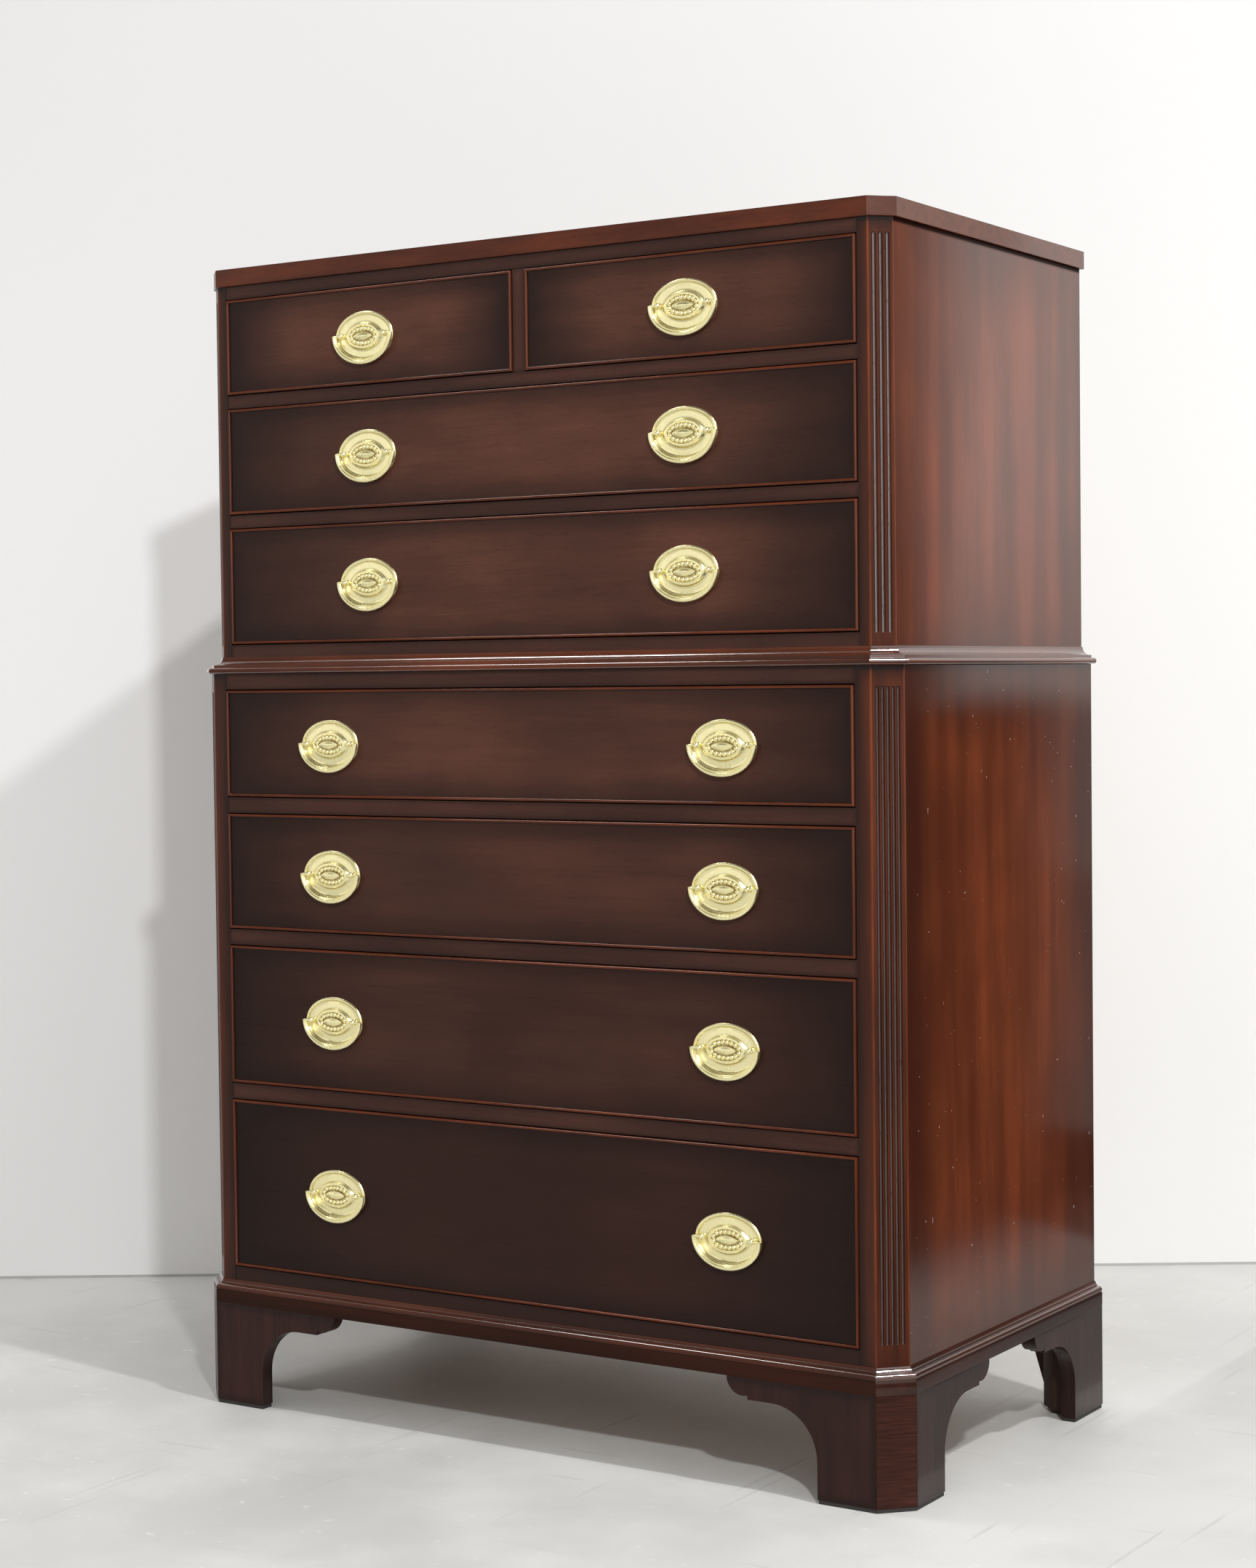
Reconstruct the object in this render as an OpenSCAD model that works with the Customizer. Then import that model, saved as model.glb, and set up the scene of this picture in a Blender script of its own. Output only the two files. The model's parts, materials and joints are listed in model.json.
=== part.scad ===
// Chest on chest: a tall mahogany chest of drawers in two stages, on bracket feet.
// Seen from the front, X runs to the right, -Y to the viewer and Z up, in millimetres.
// The origin is on the floor, below the middle of the whole chest.

/* [Feet] */
// Thickness of the dark pads under the feet
pad_t = 4.5; // [2:0.5:9]
// How far a pad stays inside the foot above it
pad_inset = 1; // [0:0.5:4]
// Height of the bracket feet above their pads
foot_h = 123.5; // [110:0.5:150]
// Thickness of the foot brackets
foot_t = 19; // [15:0.5:24]
// Width of a front foot across the front, from the case corner
foot_front_w = 106; // [90:1:125]
// Width of a front foot along the side, from the case corner
foot_side_w = 100; // [90:1:120]
// Width of a rear foot along the side
foot_rear_w = 83; // [70:1:110]
// Radius of the hollow cut below a bracket's arm
scroll_r = 58; // [40:1:64]
// Depth of wood left above the hollow
arm_h = 24.2; // [20:0.2:34]
// Length of the arm's straight part
arm_flat = 30; // [20:1:50]
// Radius of the round lobe at the arm's tip
lobe_r = 20.7; // [14:0.1:23]
// How far the lobe's centre lies past the arm
lobe_out = 6; // [2:0.5:12]
// Width of the plain rear bracket at the floor
rear_foot_low_w = 45; // [40:1:70]
// Width of the plain rear bracket at its top
rear_foot_top_w = 83; // [75:1:120]
// Width of the glue blocks inside the feet
foot_block = 42; // [30:1:55]

/* [Base moulding] */
// Height of the flat base rail
base_rail_h = 15.6; // [10:0.2:24]
// Projection of the base rail in front of the case
base_out = 10.2; // [8:0.1:14]
// Height of the groove above the base rail
groove_h = 1.2; // [0.6:0.1:2]
// Depth of that groove
groove_d = 1; // [0.5:0.1:2]
// Height of the round member above the groove
thumb_h = 6; // [4:0.2:9]
// Radius of the round member's nose
thumb_r = 4.1; // [2.5:0.1:5]
// Height of the small cove on top
base_cove_h = 6; // [4:0.2:9]
// Projection of the small cove
base_cove_out = 3.4; // [2:0.1:5]
// Radius of the small cove
base_cove_r = 5.5; // [4:0.1:5.9]
// Thickness left at the small cove's top edge
base_cove_lip = 1.1; // [0.6:0.1:2]
// How far the round member stands behind the base rail
thumb_in = 0.3; // [0.1:0.1:1]

/* [Lower case] */
// Depth of the lower case
lower_d = 524.5; // [460:0.5:600]
// Width of a lower stile beside the drawers
lower_stile_w = 19.6; // [14:0.2:30]
// Size of the lower canted corner, along the front and along the side
lower_cant = 26.8; // [20:0.2:34]
// Height of the rail below the lowest drawer
lower_foot_rail_h = 46; // [40:0.5:60]
// Height of the rails between the lower drawers
lower_rail_h = 19.8; // [15:0.2:28]
// Height of the opening of the lowest drawer
row7_h = 211.8; // [160:0.2:240]
// Height of the opening above it
row6_h = 173.7; // [130:0.2:200]
// Height of the next opening up
row5_h = 145; // [110:0.2:170]
// Height of the lower case's top opening
row4_h = 133.8; // [100:0.2:160]
// Thickness of the lower side panels
lower_side_t = 20; // [16:0.5:26]
// Number of flutes on a lower corner
lower_flutes = 5; // [3:1:5]
// Spacing of the lower flutes
lower_flute_pitch = 5.9; // [5.5:0.1:7]
// Width of a lower flute
lower_flute_w = 4.2; // [3:0.1:5]
// Plain post between the base moulding and the lower flutes
lower_flute_foot = 23.2; // [12:0.2:40]
// Plain post above the lower flutes
lower_flute_head = 22.5; // [12:0.5:40]

/* [Waist moulding] */
// Running gap round the upper case
waist_gap = 0.3; // [0.2:0.1:1]
// Radius of the nose at the bottom of the waist moulding
nose_r = 3.7; // [3:0.1:5]
// Projection of the nose in front of the lower case
nose_out = 7; // [4:0.2:10]
// Height of the square fillet above the nose
fillet_h = 3.4; // [2:0.1:5]
// How far the fillet stands behind the nose
fillet_in = 6.6; // [3:0.1:8]
// Radius of the waist cove
cove_r = 10; // [8:0.2:12]
// Thickness left at the cove's top edge
cove_lip = 1; // [0.6:0.1:2]
// Width by which the cove's thin foot is cut short
cove_foot = 2; // [1:0.1:3]

/* [Upper case] */
// How far the upper case's front stands behind the lower one
upper_in = 12.5; // [6:0.5:24]
// Width of an upper stile beside the drawers
upper_stile_w = 13.6; // [10:0.2:24]
// Size of the upper canted corner, along the front and along the side
upper_cant = 20.3; // [16:0.1:28]
// Height of the rail below the lowest upper drawer
upper_foot_rail_h = 35.8; // [32:0.2:46]
// Height of the other upper rails
upper_rail_h = 16.4; // [13:0.2:24]
// Height of the opening of the lowest upper drawer
row3_h = 145.1; // [110:0.1:170]
// Height of the opening above it
row2_h = 132.1; // [100:0.1:160]
// Height of the two small openings at the top
row1_h = 118.9; // [90:0.1:150]
// Width of the upright between the two small drawers
divider_w = 17.4; // [12:0.2:26]
// Thickness of the upper side panels
upper_side_t = 18; // [14:0.5:26]
// Number of flutes on an upper corner
upper_flutes = 3; // [2:1:3]
// Spacing of the upper flutes
upper_flute_pitch = 7.7; // [6.5:0.1:8.5]
// Width of an upper flute
upper_flute_w = 5.2; // [4:0.1:6]
// Plain post between the waist moulding and the upper flutes
upper_flute_foot = 13.7; // [8:0.1:40]
// Plain post above the upper flutes
upper_flute_head = 16.6; // [8:0.1:40]

/* [Top board] */
// Thickness of the top board
top_t = 21.4; // [16:0.2:28]
// Overhang of the top board at each side
top_side_out = 4; // [2:0.5:12]
// Overhang of the top board at the front
top_front_out = 3; // [1:0.5:12]
// Overhang of the top board at the back
top_back_out = 5; // [0:0.5:10]
// Size of the top board's clipped corners
top_cant = 24; // [18:0.5:32]

/* [Joinery] */
// Glue line left between two pieces that are joined
glue = 0.1; // [0.05:0.05:0.2]
// Width of the drawer openings of both cases
opening_w = 887.2; // [700:0.2:1000]
// Depth of the corner posts
post_d = 50; // [40:1:60]
// Depth of the flutes
flute_d = 1.9; // [1:0.1:2.2]
// Depth of the rails from front to back
rail_d = 70; // [62:1:90]
// Width of the strips that carry the drawer sides
runner_w = 30; // [20:1:45]
// Thickness of the runners below the lowest drawers
runner_t = 20; // [12:1:24]
// Height of the guide strips beside the drawers
guide_h = 12; // [8:1:20]
// Thickness of the case bottoms
case_bottom_t = 15; // [10:0.5:15.5]
// Thickness of the back boards
back_t = 12; // [8:0.5:16]
// Width of the rebate that holds the back boards
rebate_w = 10; // [6:0.5:12]
// Joint left open between two back boards
board_gap = 0.6; // [0.3:0.1:0.9]
// Number of back boards on the upper case
upper_boards = 3; // [2:1:5]
// Number of back boards on the lower case
lower_boards = 5; // [3:1:7]
// Height of the drawer stops
stop_h = 6; // [4:0.5:7]
// Length of a drawer stop, front to back
stop_l = 38; // [25:1:40]
// Width of a drawer stop
stop_w = 26; // [18:1:40]
// Distance of a drawer stop from the end of its opening
stop_in = 90; // [60:1:120]

/* [Drawers] */
// Gap round a drawer front
drawer_gap = 1.2; // [0.8:0.1:2]
// Height at which a drawer runs above its runner
run_gap = 0.3; // [0.2:0.1:0.6]
// Thickness of a drawer front
front_t = 20; // [18:0.5:24]
// Thickness of the bead round a drawer front
bead_t = 3.2; // [2.4:0.1:4.4]
// Projection of the bead in front of the drawer
bead_out = 2.8; // [2:0.1:4]
// Depth of the bead behind the drawer's face
bead_d = 5; // [3:0.5:5.5]
// Thickness of the drawer sides
drawer_side_t = 10; // [8:0.5:13]
// Thickness of the drawer backs
drawer_back_t = 10; // [8:0.5:13]
// Thickness of the drawer bottoms
drawer_bottom_t = 7; // [5:0.5:9]
// Depth of the groove that holds a drawer bottom
groove_in = 4; // [2:0.5:5]
// Height of that groove above the drawer side's lower edge
bottom_up = 8; // [7.5:0.5:12]
// Gap between a drawer side's top edge and the rail above
side_drop = 5; // [3:0.5:12]
// How far a drawer back is lower than the sides
back_drop = 8; // [4:1:20]
// How far a drawer's sides run on behind its back
side_past = 8; // [4:1:14]
// Space behind a closed drawer
rear_space = 16; // [8:1:40]
// Wood left in front of the dovetails
dovetail_lap = 6; // [5.5:0.5:9]
// Width of a dovetail at its wide end
tail_w = 26; // [20:1:28]
// Width of a dovetail at its narrow end
tail_neck = 19; // [12:1:19]
// Least spacing of the dovetails
tail_pitch = 36; // [34:1:60]

/* [Pulls] */
// Distance of the upper pulls from the middle of a wide drawer
pull_upper_x = 224.6; // [150:0.2:300]
// Distance of the lower pulls from the middle of the chest
pull_lower_x = 278.6; // [150:0.2:330]
// Half of the oval plate's width
plate_a = 43.4; // [41:0.2:50]
// Half of the oval plate's height
plate_b = 30.3; // [28:0.1:36]
// Thickness of the plate
plate_t = 1.5; // [1:0.1:2]
// How far the plate's centre lies below its posts
plate_drop = 1.2; // [0:0.1:2]
// Width of the plate's raised rim
rim_w = 4.4; // [3:0.1:5]
// Height of the plate's raised rim
rim_h = 2.5; // [2:0.1:3]
// Half of the raised boss's width
boss_a = 23.4; // [20:0.2:25]
// Half of the raised boss's height
boss_b = 14.6; // [12:0.2:16]
// Height of the boss above the drawer front
boss_h = 4.8; // [4:0.1:6]
// Width of the boss's flat collar
collar_w = 2.2; // [1.4:0.1:3]
// Depth of the sunk field inside the collar
field_d = 1.2; // [0.6:0.1:1.8]
// Half of the length of the pointed leaf in the field
leaf_a = 14; // [10:0.5:15]
// Half of the height of the leaf
leaf_b = 4.6; // [3:0.1:6]
// Distance of a post from the middle of its pull
post_x = 32.3; // [30:0.1:34]
// Radius of a post's ball head
ball_r = 4; // [3.6:0.1:4.4]
// Distance of the ball and pivot in front of the drawer
pivot_out = 6; // [5.8:0.1:7.5]
// Radius of the collar below the ball
post_collar_r = 3.2; // [2.6:0.1:3.6]
// Radius of the post's shank through the drawer front
bolt_r = 2; // [1.5:0.1:2.4]
// Clearance of the shank in its hole
bolt_clear = 0.2; // [0.1:0.1:0.5]
// Radius of the nut behind the drawer front
nut_r = 5; // [4:0.5:7]
// Thickness of that nut
nut_t = 3; // [2:0.5:5]
// Length of the shank's end that stands out of the nut
bolt_past = 1; // [0.5:0.5:3]
// Half of the bail's width, to the middle of its bar
bail_a = 41.9; // [40:0.1:46]
// Drop of the bail, to the middle of its bar
bail_b = 32.2; // [30:0.1:36]
// Width of the bail's bar
bail_w = 6.4; // [5:0.1:7.5]
// Thickness of the bail's bar
bail_t = 4; // [3:0.1:4.4]
// Height of the bail's square ends above the pivot
bail_up = 2; // [1.8:0.1:3]
// Radius of the bail's pins
pin_r = 1.5; // [1:0.1:1.7]
// Clearance of a pin in its ball
pin_clear = 0.05; // [0.02:0.01:0.09]

/* [Hidden] */
$fn = 48;
oval_step = 6;
// How far a cutting shape runs past what it cuts
past = 1;
mahogany = "#5a2a1c";
cross_grain = "#7a3f22";
inner_wood = "#9c7a4e";
brass = "#d9c274";
pad_black = "#161413";

// Places from the floor up
case_z = pad_t + foot_h;
row7_z = case_z + lower_foot_rail_h;
row6_z = row7_z + row7_h + lower_rail_h;
row5_z = row6_z + row6_h + lower_rail_h;
row4_z = row5_z + row5_h + lower_rail_h;
waist_z = row4_z + row4_h + lower_rail_h;
row3_z = waist_z + upper_foot_rail_h;
row2_z = row3_z + row3_h + upper_rail_h;
row1_z = row2_z + row2_h + upper_rail_h;
top_z = row1_z + row1_h + upper_rail_h;

// Half widths of the stages
opening_x = opening_w / 2;
lower_x = opening_x + lower_stile_w + lower_cant;
upper_x = opening_x + upper_stile_w + upper_cant;
base_x = lower_x + base_out;

// The chest's depth is centred on the origin
upper_d = lower_d - upper_in;
front_reach = lower_d + max(base_out, pivot_out + ball_r);
back_y = (front_reach + top_back_out) / 2 - top_back_out;
lower_y = back_y - lower_d;
upper_y = back_y - upper_d;
base_y = lower_y - base_out;

// A mitre at the end of a canted corner moves by this share of the offset
mitre = tan(22.5);
base_cant = lower_cant + base_out * (1 - mitre);
waist_step = lower_x - upper_x;
fillet_z = 2 * nose_r + fillet_h;
waist_h = fillet_z + cove_r;
thumb_z = base_rail_h + groove_h;
base_cove_z = thumb_z + thumb_h;
base_h = base_cove_z + base_cove_h;

spring_h = foot_h - arm_h - scroll_r;
lobe_u = scroll_r + arm_flat + lobe_out;

small_w = (opening_w - divider_w) / 2;
small_x = (divider_w + small_w) / 2;
upper_drawer_l = upper_d - back_t - rear_space;
lower_drawer_l = lower_d - back_t - rear_space;

// One row for each drawer: middle, opening width, opening bottom, opening height,
// case front, length and the places of its pulls
DRAWERS = [
    [-small_x, small_w, row1_z, row1_h, upper_y, upper_drawer_l, [0]],
    [small_x, small_w, row1_z, row1_h, upper_y, upper_drawer_l, [0]],
    [0, opening_w, row2_z, row2_h, upper_y, upper_drawer_l, [-pull_upper_x, pull_upper_x]],
    [0, opening_w, row3_z, row3_h, upper_y, upper_drawer_l, [-pull_upper_x, pull_upper_x]],
    [0, opening_w, row4_z, row4_h, lower_y, lower_drawer_l, [-pull_lower_x, pull_lower_x]],
    [0, opening_w, row5_z, row5_h, lower_y, lower_drawer_l, [-pull_lower_x, pull_lower_x]],
    [0, opening_w, row6_z, row6_h, lower_y, lower_drawer_l, [-pull_lower_x, pull_lower_x]],
    [0, opening_w, row7_z, row7_h, lower_y, lower_drawer_l, [-pull_lower_x, pull_lower_x]]
];

CASE_NODES = [
    "top_board", "upper_side_left", "upper_side_right", "upper_corner_left", "upper_corner_right",
    "upper_rails", "upper_runners", "waist_moulding",
    "lower_side_left", "lower_side_right", "lower_corner_left", "lower_corner_right",
    "lower_rails", "lower_runners", "case_bottoms", "back_boards", "base_moulding",
    "front_foot_left", "front_foot_right", "rear_foot_left", "rear_foot_right", "foot_pads"
];
PULL_SIDES = ["left", "right"];
DRAWER_NODES = [
    for (i = [0:len(DRAWERS) - 1], part = ["front", "box", "plates"]) str("drawer_", i + 1, "_", part)
];
BAIL_NODES = [
    for (i = [0:len(DRAWERS) - 1], k = [0:len(DRAWERS[i][6]) - 1])
        len(DRAWERS[i][6]) == 1 ? str("bail_", i + 1) : str("bail_", i + 1, "_", PULL_SIDES[k])
];
// Place of a drawer's first bail in that list
function first_bail(d) = d == 0 ? 0 : first_bail(d - 1) + len(DRAWERS[d - 1][6]);

// A flat outline raised from one height to another
module raised(points, low, high) {
    translate([0, 0, low]) linear_extrude(high - low) polygon(points);
}

// An outline in X and Z, cut through from one depth to another
module cut_through(points, near, far) {
    translate([0, far, 0]) rotate([90, 0, 0]) linear_extrude(far - near) polygon(points);
}

// A block between two corners
module block(low, high) {
    translate(low) cube(high - low);
}

// A right-hand piece, or its mirror image for the left
module handed(right) {
    mirror([right ? 0 : 1, 0, 0]) children();
}

// Five mitred lengths of a moulding round the front of a canted case.
// The moulding's section is the child: X outwards from the case, Y up.
module mitred_moulding(half_x, front_y, cant, reach) {
    in = -past;
    out = reach + past;
    length = 4 * half_x;
    g = glue / 2;
    side_in = side_mitre(half_x, front_y, cant, in);
    side_out = side_mitre(half_x, front_y, cant, out);
    front_in = front_mitre(half_x, front_y, cant, in);
    front_out = front_mitre(half_x, front_y, cant, out);
    side = [[half_x + in, back_y], [half_x + out, back_y], side_out + [0, g], side_in + [0, g]];
    slant = [side_in - [g, g], side_out - [g, g], front_out + [g, g], front_in + [g, g]];
    front = [front_in - [g, 0], front_out - [g, 0], flip(front_out - [g, 0]), flip(front_in - [g, 0])];
    for (right = [true, false]) handed(right) {
        moulding_length(side, [half_x, front_y + cant], 0, length) children();
        moulding_length(slant, [half_x - cant / 2, front_y + cant / 2], -45, length) children();
    }
    moulding_length(front, [0, front_y], -90, length) children();
}

// Where the mitre lies at an offset from the case, at the cant's side and front edges
function side_mitre(half_x, front_y, cant, out) = [half_x + out, front_y + cant - mitre * out];
function front_mitre(half_x, front_y, cant, out) = [half_x - cant + mitre * out, front_y - out];
function flip(p) = [-p[0], p[1]];

module moulding_length(plan, at, turn, length) {
    intersection() {
        raised(plan, -past, max(base_h, waist_h) + past);
        translate([at[0], at[1], 0]) rotate([0, 0, turn]) rotate([90, 0, 0])
            linear_extrude(length, center = true) children();
    }
}

module top_board() {
    half = upper_x + top_side_out;
    near = upper_y - top_front_out;
    far = back_y + top_back_out;
    color(mahogany) raised([
        [-half, far], [-half, near + top_cant], [-half + top_cant, near],
        [half - top_cant, near], [half, near + top_cant], [half, far]
    ], top_z, top_z + top_t);
}

// A side panel, from the canted corner to the rear, where it is rebated for the back boards
module side_panel(half_x, side_t, front_y, cant, low, high) {
    color(mahogany) difference() {
        block([half_x - side_t, front_y + cant, low], [half_x, back_y, high]);
        block([half_x - side_t - past, back_y - back_t, low - past],
              [half_x - side_t + rebate_w, back_y + past, high + past]);
    }
}

// A corner post with its stile, its canted face and the flutes in that face.
// It is rebated for the side panel, which starts where the canted face ends.
module corner_post(half_x, side_t, front_y, cant, low, high, flute_low, flute_high, count, pitch, width) {
    flute_r = (width * width / 4 + flute_d * flute_d) / (2 * flute_d);
    ends = [flute_low + width / 2, flute_high - width / 2];
    color(cross_grain) difference() {
        raised([
            [opening_x, front_y], [half_x - cant, front_y], [half_x, front_y + cant],
            [half_x - side_t, front_y + cant], [half_x - side_t, front_y + post_d],
            [opening_x, front_y + post_d]
        ], low, high);
        translate([half_x - cant / 2, front_y + cant / 2, 0]) rotate([0, 0, -45])
            for (i = [0:count - 1]) translate([flute_r - flute_d, (i - (count - 1) / 2) * pitch, 0]) {
                translate([0, 0, ends[0]]) cylinder(h = ends[1] - ends[0], r = flute_r);
                for (z = ends) translate([0, 0, z]) sphere(r = flute_r);
            }
    }
}

module upper_corner(right) {
    handed(right) corner_post(upper_x, upper_side_t, upper_y, upper_cant, waist_z, top_z,
        waist_z + waist_h + upper_flute_foot, top_z - upper_flute_head,
        upper_flutes, upper_flute_pitch, upper_flute_w);
}

module lower_corner(right) {
    handed(right) corner_post(lower_x, lower_side_t, lower_y, lower_cant, case_z, waist_z,
        case_z + base_h + lower_flute_foot, waist_z - lower_flute_head,
        lower_flutes, lower_flute_pitch, lower_flute_w);
}

// The front rail below or above an opening
module rail(front_y, low, high) {
    color(mahogany) block([-opening_x, front_y, low], [opening_x, front_y + rail_d, high]);
}

// Two small blocks on a rail that stop a drawer front from behind
module stops(middle, width, front_y, z) {
    near = front_y + front_t + run_gap;
    color(inner_wood) for (side = [-1, 1]) translate([middle + side * (width / 2 - stop_in), 0, 0])
        block([-stop_w / 2, near, z + glue], [stop_w / 2, near + stop_l, z + stop_h]);
}

module upper_rails() {
    rail(upper_y, waist_z, row3_z);
    rail(upper_y, row3_z + row3_h, row2_z);
    rail(upper_y, row2_z + row2_h, row1_z);
    rail(upper_y, row1_z + row1_h, top_z);
    color(mahogany) block([-divider_w / 2, upper_y, row1_z + glue],
                          [divider_w / 2, upper_y + rail_d, row1_z + row1_h - glue]);
    for (d = [0:3]) stops(DRAWERS[d][0], DRAWERS[d][1], DRAWERS[d][4], DRAWERS[d][2]);
}

module lower_rails() {
    rail(lower_y, case_z, row7_z);
    rail(lower_y, row7_z + row7_h, row6_z);
    rail(lower_y, row6_z + row6_h, row5_z);
    rail(lower_y, row5_z + row5_h, row4_z);
    rail(lower_y, row4_z + row4_h, waist_z);
    for (d = [4:7]) stops(DRAWERS[d][0], DRAWERS[d][1], DRAWERS[d][4], DRAWERS[d][2]);
}

// Runners along both sides and a rail at the back, all at one level
module runner_frame(inner_x, front_y, low, high) {
    near = front_y + rail_d;
    far = back_y - back_t;
    color(inner_wood) {
        for (right = [true, false]) handed(right)
            block([opening_x - runner_w, near, low], [inner_x, far, high]);
        block([runner_w - opening_x + glue, far - runner_w, low], [opening_x - runner_w - glue, far, high]);
    }
}

// Guide strips that keep a drawer straight, on top of the runners
module guides(inner_x, front_y, z) {
    color(inner_wood) for (right = [true, false]) handed(right)
        block([opening_x, front_y + rail_d, z + glue], [inner_x, back_y - back_t, z + guide_h]);
}

module upper_runners() {
    inner_x = upper_x - upper_side_t;
    near = upper_y + rail_d;
    runner_frame(inner_x, upper_y, row3_z - runner_t, row3_z);
    runner_frame(inner_x, upper_y, row3_z + row3_h, row2_z);
    runner_frame(inner_x, upper_y, row2_z + row2_h, row1_z);
    runner_frame(inner_x, upper_y, row1_z + row1_h, top_z);
    for (z = [row3_z, row2_z, row1_z]) guides(inner_x, upper_y, z);
    color(inner_wood) {
        block([-divider_w / 2 - runner_w, near, row2_z + row2_h],
              [divider_w / 2 + runner_w, back_y - back_t - runner_w - glue, row1_z]);
        block([-divider_w / 2, near, row1_z + glue], [divider_w / 2, back_y - back_t, row1_z + guide_h]);
    }
}

module lower_runners() {
    inner_x = lower_x - lower_side_t;
    runner_frame(inner_x, lower_y, row7_z - runner_t, row7_z);
    runner_frame(inner_x, lower_y, row7_z + row7_h, row6_z);
    runner_frame(inner_x, lower_y, row6_z + row6_h, row5_z);
    runner_frame(inner_x, lower_y, row5_z + row5_h, row4_z);
    runner_frame(inner_x, lower_y, row4_z + row4_h, waist_z);
    for (z = [row7_z, row6_z, row5_z, row4_z]) guides(inner_x, lower_y, z);
}

// A board that closes a case below, notched round the lowest rail
module case_bottom(inner_x, front_y, z) {
    post_back = front_y + post_d;
    rail_back = front_y + rail_d;
    far = back_y - back_t;
    color(inner_wood) raised([
        [inner_x, post_back], [opening_x, post_back], [opening_x, rail_back], [-opening_x, rail_back],
        [-opening_x, post_back], [-inner_x, post_back], [-inner_x, far], [inner_x, far]
    ], z, z + case_bottom_t);
}

module case_bottoms() {
    case_bottom(lower_x - lower_side_t, lower_y, case_z);
    case_bottom(upper_x - upper_side_t, upper_y, waist_z);
}

// Level boards let into the rebates of the sides
module back_of(half_x, side_t, low, high, count) {
    x = half_x - side_t + rebate_w;
    pitch = (high - low) / count;
    for (i = [0:count - 1])
        block([-x, back_y - back_t, low + i * pitch], [x, back_y, low + (i + 1) * pitch - board_gap]);
}

module back_boards() {
    color(inner_wood) {
        back_of(lower_x, lower_side_t, case_z, waist_z, lower_boards);
        back_of(upper_x, upper_side_t, waist_z, top_z, upper_boards);
    }
}

// Section of the waist moulding, from the upper case outwards
module waist_section() {
    nose_x = waist_step + nose_out - nose_r;
    fillet_x = waist_step + nose_out - fillet_in;
    cove_x = waist_gap + cove_lip + cove_r;
    difference() {
        union() {
            translate([waist_gap, 0]) square([nose_x - waist_gap, 2 * nose_r]);
            translate([nose_x, nose_r]) circle(nose_r);
            translate([waist_gap, nose_r]) square([fillet_x - waist_gap, fillet_z - nose_r]);
            translate([waist_gap, nose_r]) square([cove_r + cove_lip - cove_foot, waist_h - nose_r]);
        }
        translate([cove_x, waist_h]) circle(cove_r);
    }
}

module waist_moulding() {
    color(mahogany) translate([0, 0, waist_z])
        mitred_moulding(upper_x, upper_y, upper_cant, waist_step + nose_out) waist_section();
}

// Section of the base moulding and base rail, from the lower case outwards
module base_section() {
    thumb_x = base_out - thumb_in - thumb_r;
    difference() {
        union() {
            square([base_out, base_rail_h]);
            square([base_out - groove_d, thumb_z + thumb_r]);
            translate([thumb_x, base_cove_z - thumb_r]) circle(thumb_r);
            translate([0, thumb_z]) square([thumb_x, thumb_h]);
            translate([0, thumb_z]) square([base_cove_out, base_h - thumb_z]);
        }
        translate([base_cove_lip + base_cove_r, base_h]) circle(base_cove_r);
    }
}

module base_moulding() {
    color(mahogany) translate([0, 0, case_z])
        mitred_moulding(lower_x, lower_y, lower_cant, base_out) base_section();
}

// Outline of a scrolled bracket. X is 0 at the leg's inner edge and runs out along the arm.
module bracket_outline(leg_w) {
    difference() {
        translate([-leg_w, 0]) square([leg_w + scroll_r + arm_flat, foot_h]);
        translate([0, -past]) square([scroll_r + arm_flat + past, spring_h + past]);
        translate([scroll_r, spring_h]) circle(scroll_r);
        translate([scroll_r, -past]) square([arm_flat + past, spring_h + scroll_r + past]);
    }
    intersection() {
        translate([lobe_u, foot_h]) circle(lobe_r);
        translate([scroll_r + arm_flat - past, 0]) square([lobe_out + lobe_r + 2 * past, foot_h]);
    }
}

module front_foot(right) {
    leg_x = base_x - foot_front_w;
    leg_y = base_y + foot_side_w;
    inner_x = base_x - foot_t;
    inner_y = base_y + foot_t;
    handed(right) {
        color(mahogany) {
            translate([leg_x, inner_y, pad_t]) rotate([90, 0, 0]) mirror([1, 0, 0])
                linear_extrude(foot_t) bracket_outline(foot_front_w - base_cant - glue);
            translate([inner_x, leg_y, pad_t]) rotate([90, 0, 90])
                linear_extrude(foot_t) bracket_outline(foot_side_w - base_cant - glue);
        }
        color(cross_grain) raised([
            [base_x - base_cant, base_y], [base_x, base_y + base_cant],
            [inner_x, base_y + base_cant], [base_x - base_cant, inner_y]
        ], pad_t, case_z);
        color(inner_wood) translate([inner_x - glue, inner_y + glue, 0]) raised([
            [foot_t - base_cant, 0], [0, base_cant - foot_t], [0, foot_block],
            [-foot_block / 2, foot_block], [-foot_block, foot_block / 2], [-foot_block, 0]
        ], pad_t, case_z);
    }
}

module rear_foot(right) {
    inner_x = base_x - foot_t;
    inner_y = back_y - foot_t;
    handed(right) {
        color(mahogany) translate([inner_x, back_y - foot_rear_w, pad_t]) rotate([90, 0, 90])
            mirror([1, 0, 0]) linear_extrude(foot_t) bracket_outline(foot_rear_w);
        color(inner_wood) translate([-glue, 0, 0]) {
            cut_through([
                [inner_x, pad_t], [inner_x, case_z], [inner_x - rear_foot_top_w, case_z],
                [inner_x - rear_foot_low_w, pad_t]
            ], inner_y, back_y);
            translate([inner_x, inner_y - glue, 0]) raised([
                [0, 0], [0, -foot_block], [-foot_block / 2, -foot_block],
                [-foot_block, -foot_block / 2], [-foot_block, 0]
            ], pad_t, case_z);
        }
    }
}

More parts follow.
